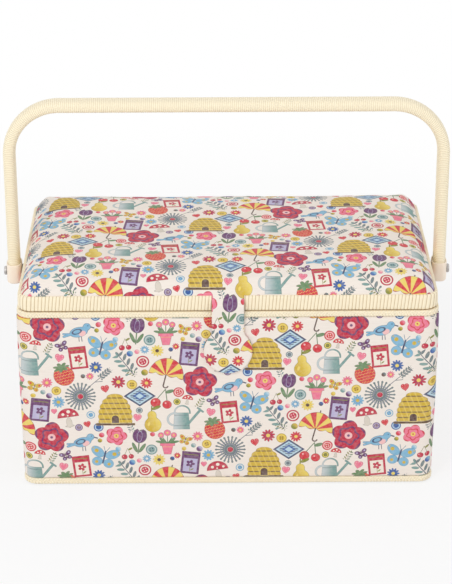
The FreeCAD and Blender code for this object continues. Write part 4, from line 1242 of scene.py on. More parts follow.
@dataclass
class Body:
    """Covered carcase with its braids and lining."""

    board: Ring = Ring(186.8 * MM, 111.3 * MM, 10.8 * MM)
    lined: Ring = Ring(179.8 * MM, 104.3 * MM, 3.0 * MM)
    columns: int = 300
    cover_low: float = 7.0 * MM
    cover_high: float = 169.8 * MM
    cover_foot: float = 1.8 * MM
    cover_top: float = 3.2 * MM
    cover_swell: float = 0.7 * MM
    cover_tuck: float = 2.6 * MM
    cover_hem: float = 1.2 * MM
    cover_rows: int = 46
    cover_columns: int = 480
    crowding: float = 0.7
    wave: float = 55 * MM
    wave_height: float = 0.22 * MM
    pucker: float = 0.3 * MM
    pucker_wave: float = 16 * MM
    pucker_run: float = 11 * MM
    pucker_start: float = 3 * MM
    hem_run: float = 2.5 * MM
    wall_top: float = 175.8 * MM
    board_thickness: float = 6.0 * MM
    lining_thickness: float = 1.0 * MM
    lining_rows: int = 14
    lining_wave: float = 40 * MM
    lining_sink: float = 0.12 * MM
    lining_high: float = 174.6 * MM
    fold_lift: float = 0.12 * MM
    fold_thickness: float = 0.1 * MM
    floor_top: float = 7.5 * MM
    floor_grid: tuple[int, int] = (60, 36)
    floor_lap: float = 0.4 * MM
    floor_thickness: float = 0.8 * MM
    floor_wave: float = 50 * MM
    floor_wave_height: float = 0.1 * MM
    braid_pitch: float = 8.4 * MM
    tape_thickness: float = 0.9 * MM
    strand: float = 1.2 * MM
    strand_flat: float = 0.72
    strand_sides: int = 6
    strand_step: float = 0.9 * MM
    strand_rise: float = 0.5 * MM

    def cover_out(self, up: float) -> float:
        """Thickness of the padded cover at a height."""
        share = (up - self.cover_low) / (self.cover_high - self.cover_low)
        swell = self.cover_swell * math.sin(math.pi * share) ** 0.6
        full = lerp(self.cover_foot, self.cover_top, share) + swell
        edge = min(up - self.cover_low, self.cover_high - up)
        roll = math.sqrt(max(0.0, 1 - (1 - min(edge / self.cover_tuck, 1.0)) ** 2))
        return lerp(self.cover_hem, full, roll)

    def cover(self) -> None:
        """Padded printed cover round the four walls."""
        sculpt = Sculpt()
        height = self.cover_high - self.cover_low
        section = [(SKIN, self.cover_low)]
        for row in range(self.cover_rows + 1):
            crowded = 0.5 - 0.5 * math.cos(math.pi * row / self.cover_rows)
            up = self.cover_low + height * lerp(row / self.cover_rows, crowded, self.crowding)
            section.append((self.cover_out(up), up))
        section.append((SKIN, self.cover_high))

        def lift(distance: float, row: int) -> float:
            """Slight waves, and puckers where the edges are glued down."""
            out, up = section[row]
            if out <= SKIN:
                return 0.0
            point, _ = self.board.along(distance)
            edge = min(up - self.cover_low, self.cover_high - up)
            near = math.exp(-edge / self.pucker_run) * smooth(0, self.pucker_start, edge)
            waves = ruffle(point + UP * up, self.wave) * self.wave_height
            stretched = Vector((distance, up * 0.25, 0.3))
            puckers = ruffle(stretched, self.pucker_wave) * self.pucker * near
            return (waves + puckers) * smooth(0, self.hem_run, edge)

        sculpt.sweep(self.board, section, self.cover_columns, lift)
        piece = sculpt.finish("body_fabric", PRINT, "box", "printed_fabric", ["body_cover"])

    def braid(self, name: str, node: str, low: float, high: float, reach: float) -> None:
        """Flat braid of three strands with a tape behind it.

        Args:
            name: the piece's name.
            node: the solid that it stands for.
            low: lower edge.
            high: upper edge.
            reach: how far it stands out from the boards.
        """
        sculpt = Sculpt()
        tape = [(SKIN, low + 0.5 * MM), (self.tape_thickness, low + 0.4 * MM),
                (self.tape_thickness, high - 0.4 * MM), (SKIN, high - 0.5 * MM)]
        sculpt.sweep(self.board, tape, self.columns)
        half = (self.strand * self.strand_flat, self.strand)
        swing = (high - low) / 2 - self.strand
        middle_out = reach - self.strand_rise - half[0]
        middle_up = (low + high) / 2
        length = self.board.length()
        pitch = length / round(length / self.braid_pitch)

        def track(phase: float) -> Track:
            """Course of one strand."""

            def path(distance: float) -> tuple[Vector, Vector, Vector]:
                """Middle of the strand, its outward and its sloping cross direction."""
                turn = TAU * distance / pitch + phase
                point, out = self.board.along(distance)
                slope = swing * TAU / pitch * math.cos(turn)
                cross = (UP - Vector((-out.y, out.x, 0)) * slope).normalized()
                outset = middle_out + self.strand_rise * math.sin(2 * turn)
                return point + out * outset + UP * (middle_up + swing * math.sin(turn)), out, cross

            return path

        for index in range(3):
            columns = round(length / self.strand_step)
            sculpt.tube(track(TAU * index / 3), length, columns, self.strand_sides, lambda _s, _a: half)
        sculpt.weld()
        sculpt.finish(name, BRAID, "box", "braid", [node])

    def wall_lining(self) -> None:
        """Cotton lining of the walls, folded over the top of the boards."""
        sculpt = Sculpt()
        fold = self.wall_top + self.fold_lift
        low = fold - self.fold_thickness
        far = self.lining_thickness + self.board_thickness - 0.4 * MM
        back = self.lining_thickness - SKIN
        section = [(0.0, lerp(self.floor_top, self.lining_high, row / self.lining_rows))
                   for row in range(self.lining_rows + 1)]
        section += [(0.3 * MM, fold - 0.25 * MM), (0.8 * MM, fold), (far, fold)]
        section += [(far, low), (back, low), (back, self.floor_top)]
        section.reverse()

        def lift(distance: float, row: int) -> float:
            """Slight waves of the wall."""
            out, up = section[row]
            if out > 0:
                return 0.0
            point, _ = self.lined.along(distance)
            return -abs(ruffle(point + UP * up, self.lining_wave)) * self.lining_sink

        sculpt.sweep(self.lined, section, self.columns, lift)
        walls = sculpt.finish("wall_lining", LINING, "box", "lining_fabric", ["body_lining"])
        flat = (self.lined.length(), fold - self.floor_top)

    def floor_lining(self) -> None:
        """Cotton lining of the floor."""
        sculpt = Sculpt()
        half_x, half_y = self.lined.half_x + self.floor_lap, self.lined.half_y + self.floor_lap

        def place(u: float, v: float) -> Vector:
            """Floor, with a slight softness."""
            flat = Vector((lerp(-half_x, half_x, u), lerp(-half_y, half_y, v), 0))
            return flat + UP * (self.floor_top + ruffle(flat, self.floor_wave) * self.floor_wave_height)

        sculpt.patch(*self.floor_grid, place, lambda u, v: (u * 2 * half_x, v * 2 * half_y))
        sculpt.thicken(self.floor_thickness)
        floor = sculpt.finish("floor_lining", LINING, "box", "lining_fabric")

    def build(self) -> None:
        """Make every soft piece of the body."""
        self.cover()
        self.braid("foot_braid", "base_trim", 0.6 * MM, self.cover_low, 2.7 * MM)
        self.braid("rim_braid", "rim_trim", self.cover_high, self.wall_top, 2.9 * MM)
        self.wall_lining()
        self.floor_lining()


@dataclass
class Lid:
    """Padded lid with its whipped band and the lining, pocket and cushion inside it."""

    frame_ring: Ring = Ring(185.3 * MM, 109.8 * MM, 10.3 * MM)
    foot: float = 189.3 * MM
    board_top: float = 190.25 * MM
    hem_inset: float = 0.35 * MM
    hem_rows: int = 3
    shoulder_low: float = 190.4 * MM
    shoulder_top: float = 203.4 * MM
    shoulder_run: float = 12.0 * MM
    shoulder_lean: float = 5.2 * MM
    crown_rise: float = 2.6 * MM
    crown_run: float = 62.0 * MM
    profile_steps: tuple[int, int, int] = (10, 10, 4)
    corner_draw: float = 0.5
    corner_least: float = 3.6 * MM
    side_columns: tuple[int, int, int] = (64, 6, 38)
    wave: float = 70 * MM
    wave_height: float = 0.7 * MM
    crease: float = 28 * MM
    crease_height: float = 0.18 * MM
    soft_run: float = 9 * MM
    level_run: tuple[float, float] = (45 * MM, 85 * MM)
    band: Ring = Ring(185.0 * MM, 109.5 * MM, 10.0 * MM)
    band_low: float = 176.2 * MM
    band_high: float = 190.0 * MM
    band_out: float = 3.6 * MM
    band_edge: float = 0.5 * MM
    band_tuck: float = 0.2 * MM
    band_steps: int = 10
    band_squareness: float = 0.22
    gap_half: float = 14.6 * MM
    ridge: float = 0.6 * MM
    columns_per_turn: int = 9
    lean: float = 0.4
    lean_spread: float = 0.6
    lean_wave: float = 45 * MM
    panel_half_x: float = 178.5 * MM
    panel_half_y: float = 103.0 * MM
    panel_low: float = 184.2 * MM
    panel_high: float = 187.2 * MM
    panel_grid: tuple[int, int] = (210, 122)
    quilt_pitch: float = 34 * MM
    quilt_depth: float = 2.2 * MM
    fold_columns: int = 240
    fold_far: float = 6.0 * MM
    fold_width: float = 14 * MM
    pocket_half: float = 150 * MM
    pocket_front: float = 8 * MM
    pocket_back: float = 100 * MM
    pocket_drop: float = 6.6 * MM
    pocket_grid: tuple[int, int] = (460, 30)
    pocket_fullness: float = 1.15
    pocket_cloth: float = 0.4 * MM
    gathers: int = 46
    gather_depth: float = 1.2 * MM
    elastic_grid: tuple[int, int] = (640, 6)
    elastic_width: float = 7.8 * MM
    cushion_y: float = -49 * MM
    cushion_radius: float = 36 * MM
    cushion_drop: float = 8.6 * MM
    cushion_spokes: int = 96
    cushion_rings: int = 22
    threads: int = 8
    thread_sharpness: int = 14
    thread_depth: float = 2.0 * MM
    button_radius: float = 7 * MM
    button_depth: float = 2.2 * MM

    def profile(self) -> list[Point]:
        """Side view of the cover as inset and height, from its hidden foot to the level middle."""
        points = [(self.hem_inset, self.board_top), (self.hem_inset, self.foot), (0.0, self.foot + 0.2 * MM)]
        shoulder, crown, middle = self.profile_steps
        for step in range(shoulder + 1):
            angle = TAU / 4 * step / shoulder
            rise = math.sin(angle)
            bow = (self.shoulder_run - self.shoulder_lean) * (1 - math.cos(angle))
            points.append((self.shoulder_lean * rise + bow, lerp(self.shoulder_low, self.shoulder_top, rise)))
        for step in range(1, crown + 1):
            share = step / crown
            rise = self.crown_rise * (1 - (1 - share) ** 2)
            points.append((self.shoulder_run + self.crown_run * share, self.shoulder_top + rise))
        begin, last = self.shoulder_run + self.crown_run, self.frame_ring.half_y
        for step in range(1, middle + 1):
            points.append((lerp(begin, last, step / middle), self.shoulder_top + self.crown_rise))
        return points

    def front_cloth(self, up: float) -> float:
        """Cloth coordinate of the cover's front at a height on its side."""
        points = self.profile()[2:]
        run = 0.0
        for (inset, high), (last_inset, last_high) in zip(points[1:], points):
            step = math.hypot(inset - last_inset, high - last_high)
            if last_high <= up < high:
                run += step * (high - up) / (high - last_high)
            elif last_high > up:
                run += step
        return -run

    def cover(self) -> None:
        """Crowned printed cover of the lid."""
        sculpt = Sculpt()
        points = self.profile()
        runs = runs_of(points)
        long, corner, short = self.side_columns
        counts = [long, corner, short, corner] * 2
        columns, rows = sum(counts), len(points) - 1

        def spot(u: float, v: float) -> tuple[Vector, Vector, int]:
            """Point of the smooth cover, its outward direction and its row."""
            row = round(v * rows)
            column = round(u * columns) % columns
            part = 0
            while column >= counts[part]:
                column -= counts[part]
                part += 1
            inset, up = points[row]
            room = self.frame_ring.half_y - inset
            radius = max(self.frame_ring.radius - inset * self.corner_draw, self.corner_least)
            ring = Ring(self.frame_ring.half_x - inset, room, min(radius, max(room * 0.98, 1e-5)))
            point, out = ring.on_part(part, column / counts[part])
            return point + UP * up, out, row

        def place(u: float, v: float) -> Vector:
            """Point of the cover, with the slight unevenness of a stuffed pad."""
            point, out, row = spot(u, v)
            if row <= self.hem_rows:
                return point
            soft = smooth(0, self.soft_run, runs[row] - runs[self.hem_rows])
            waves = ruffle(point, self.wave) * self.wave_height
            waves += ruffle(point + Vector((0.3, 0, 0)), self.crease) * self.crease_height
            level = smooth(0, self.shoulder_run, points[row][0])
            return point + (UP * level + out * (1 - level) * 0.6) * waves * soft

        def cloth(u: float, v: float) -> Point:
            """Cloth coordinates: the plan of the lid, with its sides folded out flat."""
            point, out, row = spot(min(u, 1 - 1e-9), v)
            flat = runs[-1] - runs[row] - (self.frame_ring.half_y - points[row][0])
            return point.x + out.x * flat, point.y + out.y * flat

        def free(at: Vector) -> float:
            """Share of the swelling: none at the hem or over the level middle."""
            inset = min(self.frame_ring.half_x - abs(at.x), self.frame_ring.half_y - abs(at.y))
            side = smooth(0.3 * MM, self.soft_run, at.z - self.shoulder_low)
            return side * (1 - smooth(*self.level_run, inset))

        sculpt.patch(columns, rows, place, cloth)
        sculpt.weld(2e-6)
        hem = [edge for edge in sculpt.mesh.edges if edge.is_boundary]
        bmesh.ops.triangle_fill(sculpt.mesh, use_beauty=True, edges=hem)
        piece = sculpt.finish("lid_fabric", PRINT, "lid", "printed_fabric", ["lid_cover", "lid_pad"])
        Stuffing().fill(piece, free)
        finer = piece.modifiers.new("finer", "SUBSURF")
        finer.levels = finer.render_levels = 1

    def whip(self) -> None:
        """Whipped band round the lid, open where the tab comes through."""
        sculpt = Sculpt()
        height = self.band_high - self.band_low
        section = [(SKIN, self.band_low + self.band_tuck)]
        for step in range(self.band_steps + 1):
            angle = math.pi * step / self.band_steps
            shape = math.sin(angle) ** self.band_squareness if 0 < step < self.band_steps else 0.0
            out = lerp(self.band_edge, self.band_out - self.ridge, shape)
            section.append((out, self.band_low + height * (0.5 - 0.5 * math.cos(angle))))
        section.append((SKIN, self.band_high - self.band_tuck))
        length = self.band.length() - 2 * self.gap_half
        start = self.band.to_front() + self.gap_half
        turns = round(length / (WHIP_PITCH * MM))

        def count(distance: float, up: float) -> float:
            """Number of turns up to a place on the band; the turns lean, some more than others."""
            lean = self.lean + self.lean_spread * noise.noise(Vector((distance / self.lean_wave, 0, 7.0)))
            return (distance - start) / length * turns - lean * (up - self.band_low) / height

        def lift(distance: float, row: int) -> float:
            """Rounded turns of the strip, each a little different."""
            out, up = section[row]
            if out <= SKIN:
                return 0.0
            turn = count(distance, up)
            uneven = noise.noise(Vector((math.floor(turn) * 0.73, up * 120, 4.0)))
            return self.ridge * math.sin(math.pi * turn) ** 2 * (0.85 + 0.3 * uneven)

        def wind(distance: float, row: int) -> float:
            """Place along the strip's turns."""
            return count(distance, section[row][1]) * WHIP_PITCH * MM

        sculpt.sweep(self.band, section, turns * self.columns_per_turn, lift, (start, length), wind)
        sculpt.finish("lid_whipped_band", WHIP, "lid", "whipped_strip", ["lid_trim"])

    def panel(self) -> None:
        """Quilted lining panel inside the lid, with its edge turned under the frame."""
        sculpt = Sculpt()
        half_x, half_y = self.panel_half_x, self.panel_half_y

        def place(u: float, v: float) -> Vector:
            """Pillows between crossing rows of stitches, pressed flat behind the pocket."""
            x, y = lerp(half_x, -half_x, u), lerp(-half_y, half_y, v)
            first = abs(math.sin(math.pi * (x + y) / self.quilt_pitch))
            second = abs(math.sin(math.pi * (x - y) / self.quilt_pitch))
            edge = min(half_x - abs(x), half_y - abs(y))
            behind = smooth(0, 6 * MM, self.pocket_half - abs(x)) * smooth(0, 6 * MM, y - self.pocket_front)
            pillow = (first * second) ** 0.4 * smooth(0, 10 * MM, edge) * (1 - 0.9 * behind)
            return Vector((x, y, self.panel_low + 0.4 * MM - self.quilt_depth * pillow))

        sculpt.patch(*self.panel_grid, place, lambda u, v: (u * 2 * half_x, v * 2 * half_y))
        border = [edge for edge in sculpt.mesh.edges if edge.is_boundary]
        turned = bmesh.ops.extrude_edge_only(sculpt.mesh, edges=border)["geom"]
        for vert in (item for item in turned if isinstance(item, bmesh.types.BMVert)):
            vert.co.z = self.panel_high - 0.05 * MM
        piece = sculpt.finish("lid_quilted_panel", LINING, "lid", "lining_fabric", ["lid_lining"])

    def frame_fold(self) -> None:
        """Lining cloth folded over the underside of the lid frame."""
        sculpt = Sculpt()
        low, far = self.band_low - 0.1 * MM, self.fold_far
        inner = Ring(self.panel_half_x + 0.4 * MM, self.panel_half_y + 0.4 * MM, 3.5 * MM)
        section = [(0.0, self.panel_low), (0.0, low + 0.4 * MM), (0.3 * MM, low), (far, low),
                   (far, low + 0.08 * MM), (0.1 * MM, low + 0.5 * MM), (0.1 * MM, self.panel_low)]
        sculpt.sweep(inner, section[::-1], self.fold_columns)
        piece = sculpt.finish("lid_frame_fold", LINING, "lid", "lining_fabric")

    def pocket_share(self, y: float) -> float:
        """Share of the way from the pocket's mouth to its back."""
        return max((y - self.pocket_front) / (self.pocket_back - self.pocket_front), 0.0)

    def bag(self, x: float, y: float) -> float:
        """Depth of the pocket below the panel."""
        side = smooth(0, 16 * MM, self.pocket_half - abs(x))
        return self.pocket_drop * side * math.sqrt(max(0.0, 1 - self.pocket_share(y) ** 2.2))

    def gather(self, x: float, y: float) -> float:
        """Height of the gathers, deepest at the mouth."""
        wander = 6 * MM * ruffle(Vector((x * 1.5, y, 0)), 60 * MM)
        wave = math.sin(TAU * self.gathers * (x + wander) / (2 * self.pocket_half))
        fade = (1 - self.pocket_share(y)) ** 0.6 * smooth(0, 14 * MM, self.pocket_half - abs(x))
        return wave * self.gather_depth * fade

    def pocket(self) -> None:
        """Gathered pocket, sewn on along its sides and back."""
        sculpt = Sculpt()
        half, front, back = self.pocket_half, self.pocket_front, self.pocket_back

        def place(u: float, v: float) -> Vector:
            """Point of the pocket's cloth."""
            x, y = lerp(half, -half, u), lerp(front, back, v)
            return Vector((x, y, self.panel_low - 0.2 * MM - self.bag(x, y) * 0.9 - self.gather(x, y)))

        sculpt.patch(*self.pocket_grid, place, lambda u, v: (u * half * 3, v * (back - front)))
        sculpt.thicken(self.pocket_cloth)
        piece = sculpt.finish("lid_gathered_pocket", LINING, "lid", "lining_fabric", ["lid_pocket"])

    def elastic(self) -> None:
        """Ruched elastic along the pocket's mouth."""
        sculpt = Sculpt()
        half = self.pocket_half

        def place(u: float, v: float) -> Vector:
            """Point of the ruched band, which follows the mouth."""
            x, y = lerp(half, -half, u), self.pocket_front + lerp(-0.2, 7.6, v) * MM
            up = self.panel_low - 0.7 * MM - self.bag(x, y) * 0.9 - self.gather(x, y) * 0.75
            bulge = 0.5 * MM * math.sin(math.pi * v) ** 0.5
            return Vector((x, y, up - bulge - 0.15 * MM * math.sin(TAU * 140 * u + 3 * v)))

        sculpt.patch(*self.elastic_grid, place, lambda u, v: (u * half * 2, v * self.elastic_width))
        sculpt.thicken(self.pocket_cloth)
        piece = sculpt.finish("pocket_ruched_band", ELASTIC, "lid", "elastic", ["pocket_elastic"])

    def cushion(self) -> None:
        """Stuffed pin cushion, drawn in by eight threads and a button."""
        sculpt = Sculpt()
        spokes = self.cushion_spokes

        def thread(angle: float) -> float:
            """Nearness of a direction to one of the threads."""
            return abs(math.cos(self.threads / 2 * angle)) ** self.thread_sharpness

        def place(u: float, v: float) -> Vector:
            """Point of the cushion, from its hidden back over the edge to the middle."""
            angle = TAU * (round(u * spokes) % spokes) / spokes
            groove = thread(angle)
            turn = math.pi * (0.08 + 0.92 * v)
            radius = self.cushion_radius * math.sin(turn) ** 0.55 if v < 0.999 else 0.0
            radius *= 1 - 0.06 * groove
            dip = math.exp(-((radius / self.button_radius) ** 2)) * self.button_depth
            dip += groove * self.thread_depth * math.sin(turn)
            drop = self.cushion_drop * (0.5 - 0.5 * math.cos(turn)) - dip
            return Vector((radius * math.cos(angle), self.cushion_y + radius * math.sin(angle),
                           self.panel_low - max(drop, 0.05 * MM)))

        def free(at: Vector) -> float:
            """Share of the swelling: none at the back, along the threads or under the button."""
            across, up = at.x, at.y - self.cushion_y
            front = smooth(1.0 * MM, 3.0 * MM, self.panel_low - at.z)
            away = smooth(6 * MM, 14 * MM, math.hypot(across, up))
            return (1 - thread(math.atan2(up, across))) * front * away

        sculpt.patch(spokes, self.cushion_rings, place, lambda u, v: (u * 0.22, v * 0.05))
        sculpt.weld()
        piece = sculpt.finish("lid_pin_cushion", VELVET, "lid", "cushion_fabric", ["pin_cushion"])
        Stuffing(reach=1.4 * MM).fill(piece, free)

    def build(self) -> None:
        """Make every soft piece of the lid."""
        self.cover()
        self.whip()
        self.panel()
        self.frame_fold()
        self.pocket()
        self.elastic()
        self.cushion()


@dataclass
class Tab:
    """Fabric tab that closes the lid: a neck from under the lid's cover and a disc on the front."""

    neck_half: float = 14.5 * MM
    disc_radius: float = 22.0 * MM
    disc_up: float = 138.0 * MM
    flare: float = 8.0 * MM
    middle_y: float = -116.5 * MM
    thickness: float = 3.2 * MM
    edge_round: float = 1.7 * MM
    stitch_in: float = 3.2 * MM
    stitch_half: float = 0.7 * MM
    stitch_depth: float = 0.35 * MM
    wave: float = 16 * MM
    wave_height: float = 0.16 * MM
    straight_top: float = 181.0 * MM
    root_top: float = 191.2 * MM
    root_y: float = -108.3 * MM
    root_thickness: float = 1.3 * MM
    axis_up: float = 177.0 * MM
    bend_half: float = 3.0 * MM
    columns: int = 28
    level_steps: tuple[int, int, int, int] = (26, 12, 10, 34)
    cloth_top: float = -0.13
    cloth_stretch: float = 1.04
    back_shift: float = 0.06

    def flare_up(self) -> float:
        """Height of the flare's centre over the disc's."""
        return math.sqrt((self.disc_radius + self.flare) ** 2 - (self.neck_half + self.flare) ** 2)

    def meet_up(self) -> float:
        """Height over the disc's centre at which the flare leaves the disc."""
        return self.flare_up() * self.disc_radius / (self.disc_radius + self.flare)

    def half_width(self, up: float) -> float:
        """Half width of the tab at a height over the disc's centre."""
        if up <= self.meet_up():
            return math.sqrt(max(self.disc_radius ** 2 - up ** 2, 0.0))
        rise = self.flare_up() - up
        if rise > 0:
            return self.neck_half + self.flare - math.sqrt(max(self.flare ** 2 - rise ** 2, 0.0))
        return self.neck_half

    def depth(self, x: float, up: float) -> float:
        """Distance in from the tab's edge."""
        side = self.neck_half - abs(x)
        disc = self.disc_radius - math.hypot(x, up)
        flare = math.hypot(abs(x) - self.neck_half - self.flare, up - self.flare_up()) - self.flare
        if up > self.flare_up():
            return side
        in_neck = abs(x) < self.neck_half + self.flare and up > 0 and flare > 0
        return max(disc, min(flare, side + self.flare)) if in_neck else disc

    def levels(self) -> list[float]:
        """Heights of the rows over the disc's centre."""
        disc, meeting, flare, neck = self.level_steps
        flare_up, meet_up, top = self.flare_up(), self.meet_up(), self.root_top - self.disc_up
        levels = [-self.disc_radius * math.cos(TAU / 4 * step / disc) for step in range(disc)]
        levels += [lerp(0.0, meet_up, step / meeting) for step in range(meeting)]
        levels += [lerp(meet_up, flare_up, step / flare) for step in range(flare)]
        return levels + [lerp(flare_up, top, step / neck) for step in range(neck + 1)]

    def across(self, level: float, u: float) -> float:
        """Place across the tab, with the columns crowded towards its edges."""
        return self.half_width(level) * (math.sin(math.pi * (u - 0.5)) * 0.55 + (2 * u - 1) * 0.45)

    def hang(self, up: float) -> tuple[float, float]:
        """Middle and thickness of the tab at a height."""
        share = smooth(self.straight_top, self.root_top, up)
        lean = max((up - self.straight_top) / (self.root_top - self.straight_top), 0.0)
        middle = lerp(self.middle_y, self.root_y, lean ** 1.5)
        return middle, lerp(self.thickness, self.root_thickness, share)

    def face(self, sculpt: Sculpt, side: int) -> None:
        """Lay the front (1) or the back (-1) of the tab."""
        levels = self.levels()
        rows = len(levels) - 1
        shift = 0.0 if side > 0 else self.back_shift

        def place(u: float, v: float) -> Vector:
            """Point of the face, rounded down to the edge and drawn in along its stitches."""
            level = levels[round(v * rows)]
            x = side * self.across(level, u)
            inside = self.depth(x, level)
            deep = min(max(inside, 0.0) / self.edge_round, 1.0)
            up = self.disc_up + level
            middle, thick = self.hang(up)
            shape = math.sqrt(1 - (1 - deep) ** 2)
            stitch = self.stitch_depth * math.exp(-(((inside - self.stitch_in) / self.stitch_half) ** 2))
            soft = ruffle(Vector((x, 0, up)), self.wave) * self.wave_height * deep
            return Vector((x, middle - side * (thick / 2 - stitch) * shape + soft, up))

        def cloth(u: float, v: float) -> Point:
            """Cloth coordinates, which run on from the lid's front."""
            level = levels[round(v * rows)]
            up = self.cloth_top + (level - levels[-1]) * self.cloth_stretch
            return side * self.across(level, u) + shift, up

        sculpt.patch(self.columns, rows, place, cloth)

    def build(self) -> None:
        """Make the tab as one piece, from under the lid's cover to the disc on the front."""
        sculpt = Sculpt()
        for side in (1, -1):
            self.face(sculpt, side)
        sculpt.weld(5e-6)
        piece = sculpt.finish("closure_tab_fabric", PRINT, "", "printed_fabric", ["closure_tab", "tab_root"])
        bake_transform(piece)


@dataclass
class Handle:
    """Carrying handle wound with strip."""

    leg_x: float = 199.8 * MM
    bar_up: float = 331.0 * MM
    corner: float = 47.0 * MM
    low: float = 172.9 * MM
    half_width: float = 5.4 * MM
    half_breadth: float = 9.5 * MM
    squareness: float = 3.0
    ridge: float = 0.35 * MM
    sides: int = 28
    columns_per_turn: int = 6
    cap_low: float = 157.6 * MM
    cap_high: float = 176.6 * MM
    cap_half_x: float = 7.2 * MM
    cap_half_y: float = 11.2 * MM
    cap_squareness: float = 2.8
    cap_sides: int = 64

    def path(self, distance: float) -> tuple[Vector, Vector, Vector]:
        """Middle of the handle with its outward and level cross directions."""
        shoulder = self.bar_up - self.corner
        leg = shoulder - self.low
        bend = TAU / 4 * self.corner
        bar = 2 * (self.leg_x - self.corner)
        level = Vector((0, 1, 0))
        if distance <= leg:
            return Vector((-self.leg_x, 0, self.low + distance)), Vector((-1, 0, 0)), level
        if distance <= leg + bend:
            angle = (distance - leg) / self.corner
            out = Vector((-math.cos(angle), 0, math.sin(angle)))
            return Vector((self.corner - self.leg_x, 0, shoulder)) + out * self.corner, out, level
        if distance <= leg + bend + bar:
            along = distance - leg - bend
            return Vector((self.corner - self.leg_x + along, 0, self.bar_up)), UP, level
        middle, out, _ = self.path(2 * leg + 2 * bend + bar - distance)
        return Vector((-middle.x, 0, middle.z)), Vector((-out.x, 0, out.z)), level

    def cap(self, side: int) -> None:
        """Moulded end cap of the left (-1) or right (1) leg."""
        sculpt = Sculpt()
        foot = [(6.6, 0.0), (3.4, 0.0), (1.9, 0.1), (0.95, 0.42), (0.36, 0.95), (0.06, 1.7), (0.0, 3.0)]
        mouth = [(0.0, 3.0), (0.0, 1.0), (0.1, 0.5), (0.32, 0.16),
                 (0.6, 0.0), (1.0, 0.0), (1.18, 0.2), (1.2, 3.0)]
        section = [(inset * MM, self.cap_low + rise * MM) for inset, rise in foot]
        section += [(inset * MM, self.cap_high - drop * MM) for inset, drop in mouth]
        rows, count = len(section) - 1, self.cap_sides

        def place(u: float, v: float) -> Vector:
            """Point of the cap, from the middle of its foot to the inside of its mouth."""
            inset, up = section[round(v * rows)]
            angle = TAU * (round(u * count) % count) / count
            full = rounded(angle, self.cap_squareness)
            x = (self.cap_half_x - inset) * math.cos(angle) * full
            y = (self.cap_half_y - inset) * math.sin(angle) * full
            return Vector((side * self.leg_x + x, y, up))

        sculpt.patch(count, rows, place, lambda u, v: (u * 0.06, v * 0.03))
        sculpt.weld()
        word = "left" if side < 0 else "right"
        sculpt.finish("handle_end_" + word, CAP, "handle", "cap_plastic", ["handle_cap_" + word])

    def grip(self) -> None:
        """Wound grip, whose ends sit inside the caps."""
        sculpt = Sculpt()
        legs, bar = 2 * (self.bar_up - self.corner - self.low), 2 * (self.leg_x - self.corner)
        length = legs + TAU / 2 * self.corner + bar
        turns = round(length / (GRIP_PITCH * MM))

        def count(distance: float, angle: float) -> float:
            """Number of turns up to a place on the grip."""
            return distance / length * turns + angle / TAU

        def reach(distance: float, angle: float) -> Point:
            """Half sizes with the rounded turns of the strip."""
            turn = count(distance, angle)
            uneven = noise.noise(Vector((math.floor(turn) * 0.61, 0, 2.0)))
            lift = self.ridge * math.sin(math.pi * turn) ** 2 * (1 + 0.25 * uneven)
            full = rounded(angle, self.squareness)
            return (self.half_width + lift) * full, (self.half_breadth + lift) * full

        def wind(distance: float, angle: float) -> float:
            """Place along the strip's turns."""
            return count(distance, angle) * GRIP_PITCH * MM

        sculpt.tube(self.path, length, turns * self.columns_per_turn, self.sides, reach, wind)
        sculpt.weld()
        sculpt.finish("handle_wound_grip", GRIP, "handle", "whipped_strip", ["handle_wrap"])

    def build(self) -> None:
        """Make the wound grip and its end caps."""
        for side in (-1, 1):
            self.cap(side)
        self.grip()


@dataclass
class Hardware:
    """Rigid pieces that keep their solids and get their finishes."""

    finishes: tuple[tuple[Finish, tuple[str, ...]], ...] = (
        (SCREW, ("handle_screws",)),
        (BUSH, ("handle_bushes",)),
        (CORE, ("handle_core",)),
        (TRAY, ("tray",)),
        (FIBRE, ("front_board", "back_board", "left_board", "right_board", "base_board", "lid_board",
                 "lid_rim_front", "lid_rim_back", "lid_rim_left", "lid_rim_right")),
        (PAPER, ("base_sheet", "tray_ledge_left", "tray_ledge_right")),
        (CARD, ("tab_stiffener",)),
        (STEEL, ("screw_washers", "screw_nuts", "hinge_body_leaves", "hinge_lid_leaves",
                 "hinge_pins", "hinge_body_rivets", "hinge_lid_rivets", "tab_magnet", "catch_plate")),
    )

    def build(self) -> None:
        """Give each solid its finish."""
        for finish, nodes in self.finishes:
            for node in nodes:
                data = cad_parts[node].data
                data.materials.clear()
                data.materials.append(finish.material())
                LOG.info("%s: %s", node, finish.name)


@dataclass(frozen=True)
class Lamp:
    """Soft square lamp that faces the box."""

    name: str
    place: tuple[float, float, float]
    size: float
    power: float
    aim: tuple[float, float, float] = (0.0, 0.0, 0.13)

    def build(self) -> None:
        """Put the lamp in the scene."""
        data = bpy.data.lights.new(self.name, "AREA")
        data.size = self.size
        data.energy = self.power
        made = stand(self.name, data)
        made.location = self.place
        aim = Vector(self.aim) - made.location
        made.rotation_euler = aim.to_track_quat("-Z", "Y").to_euler()


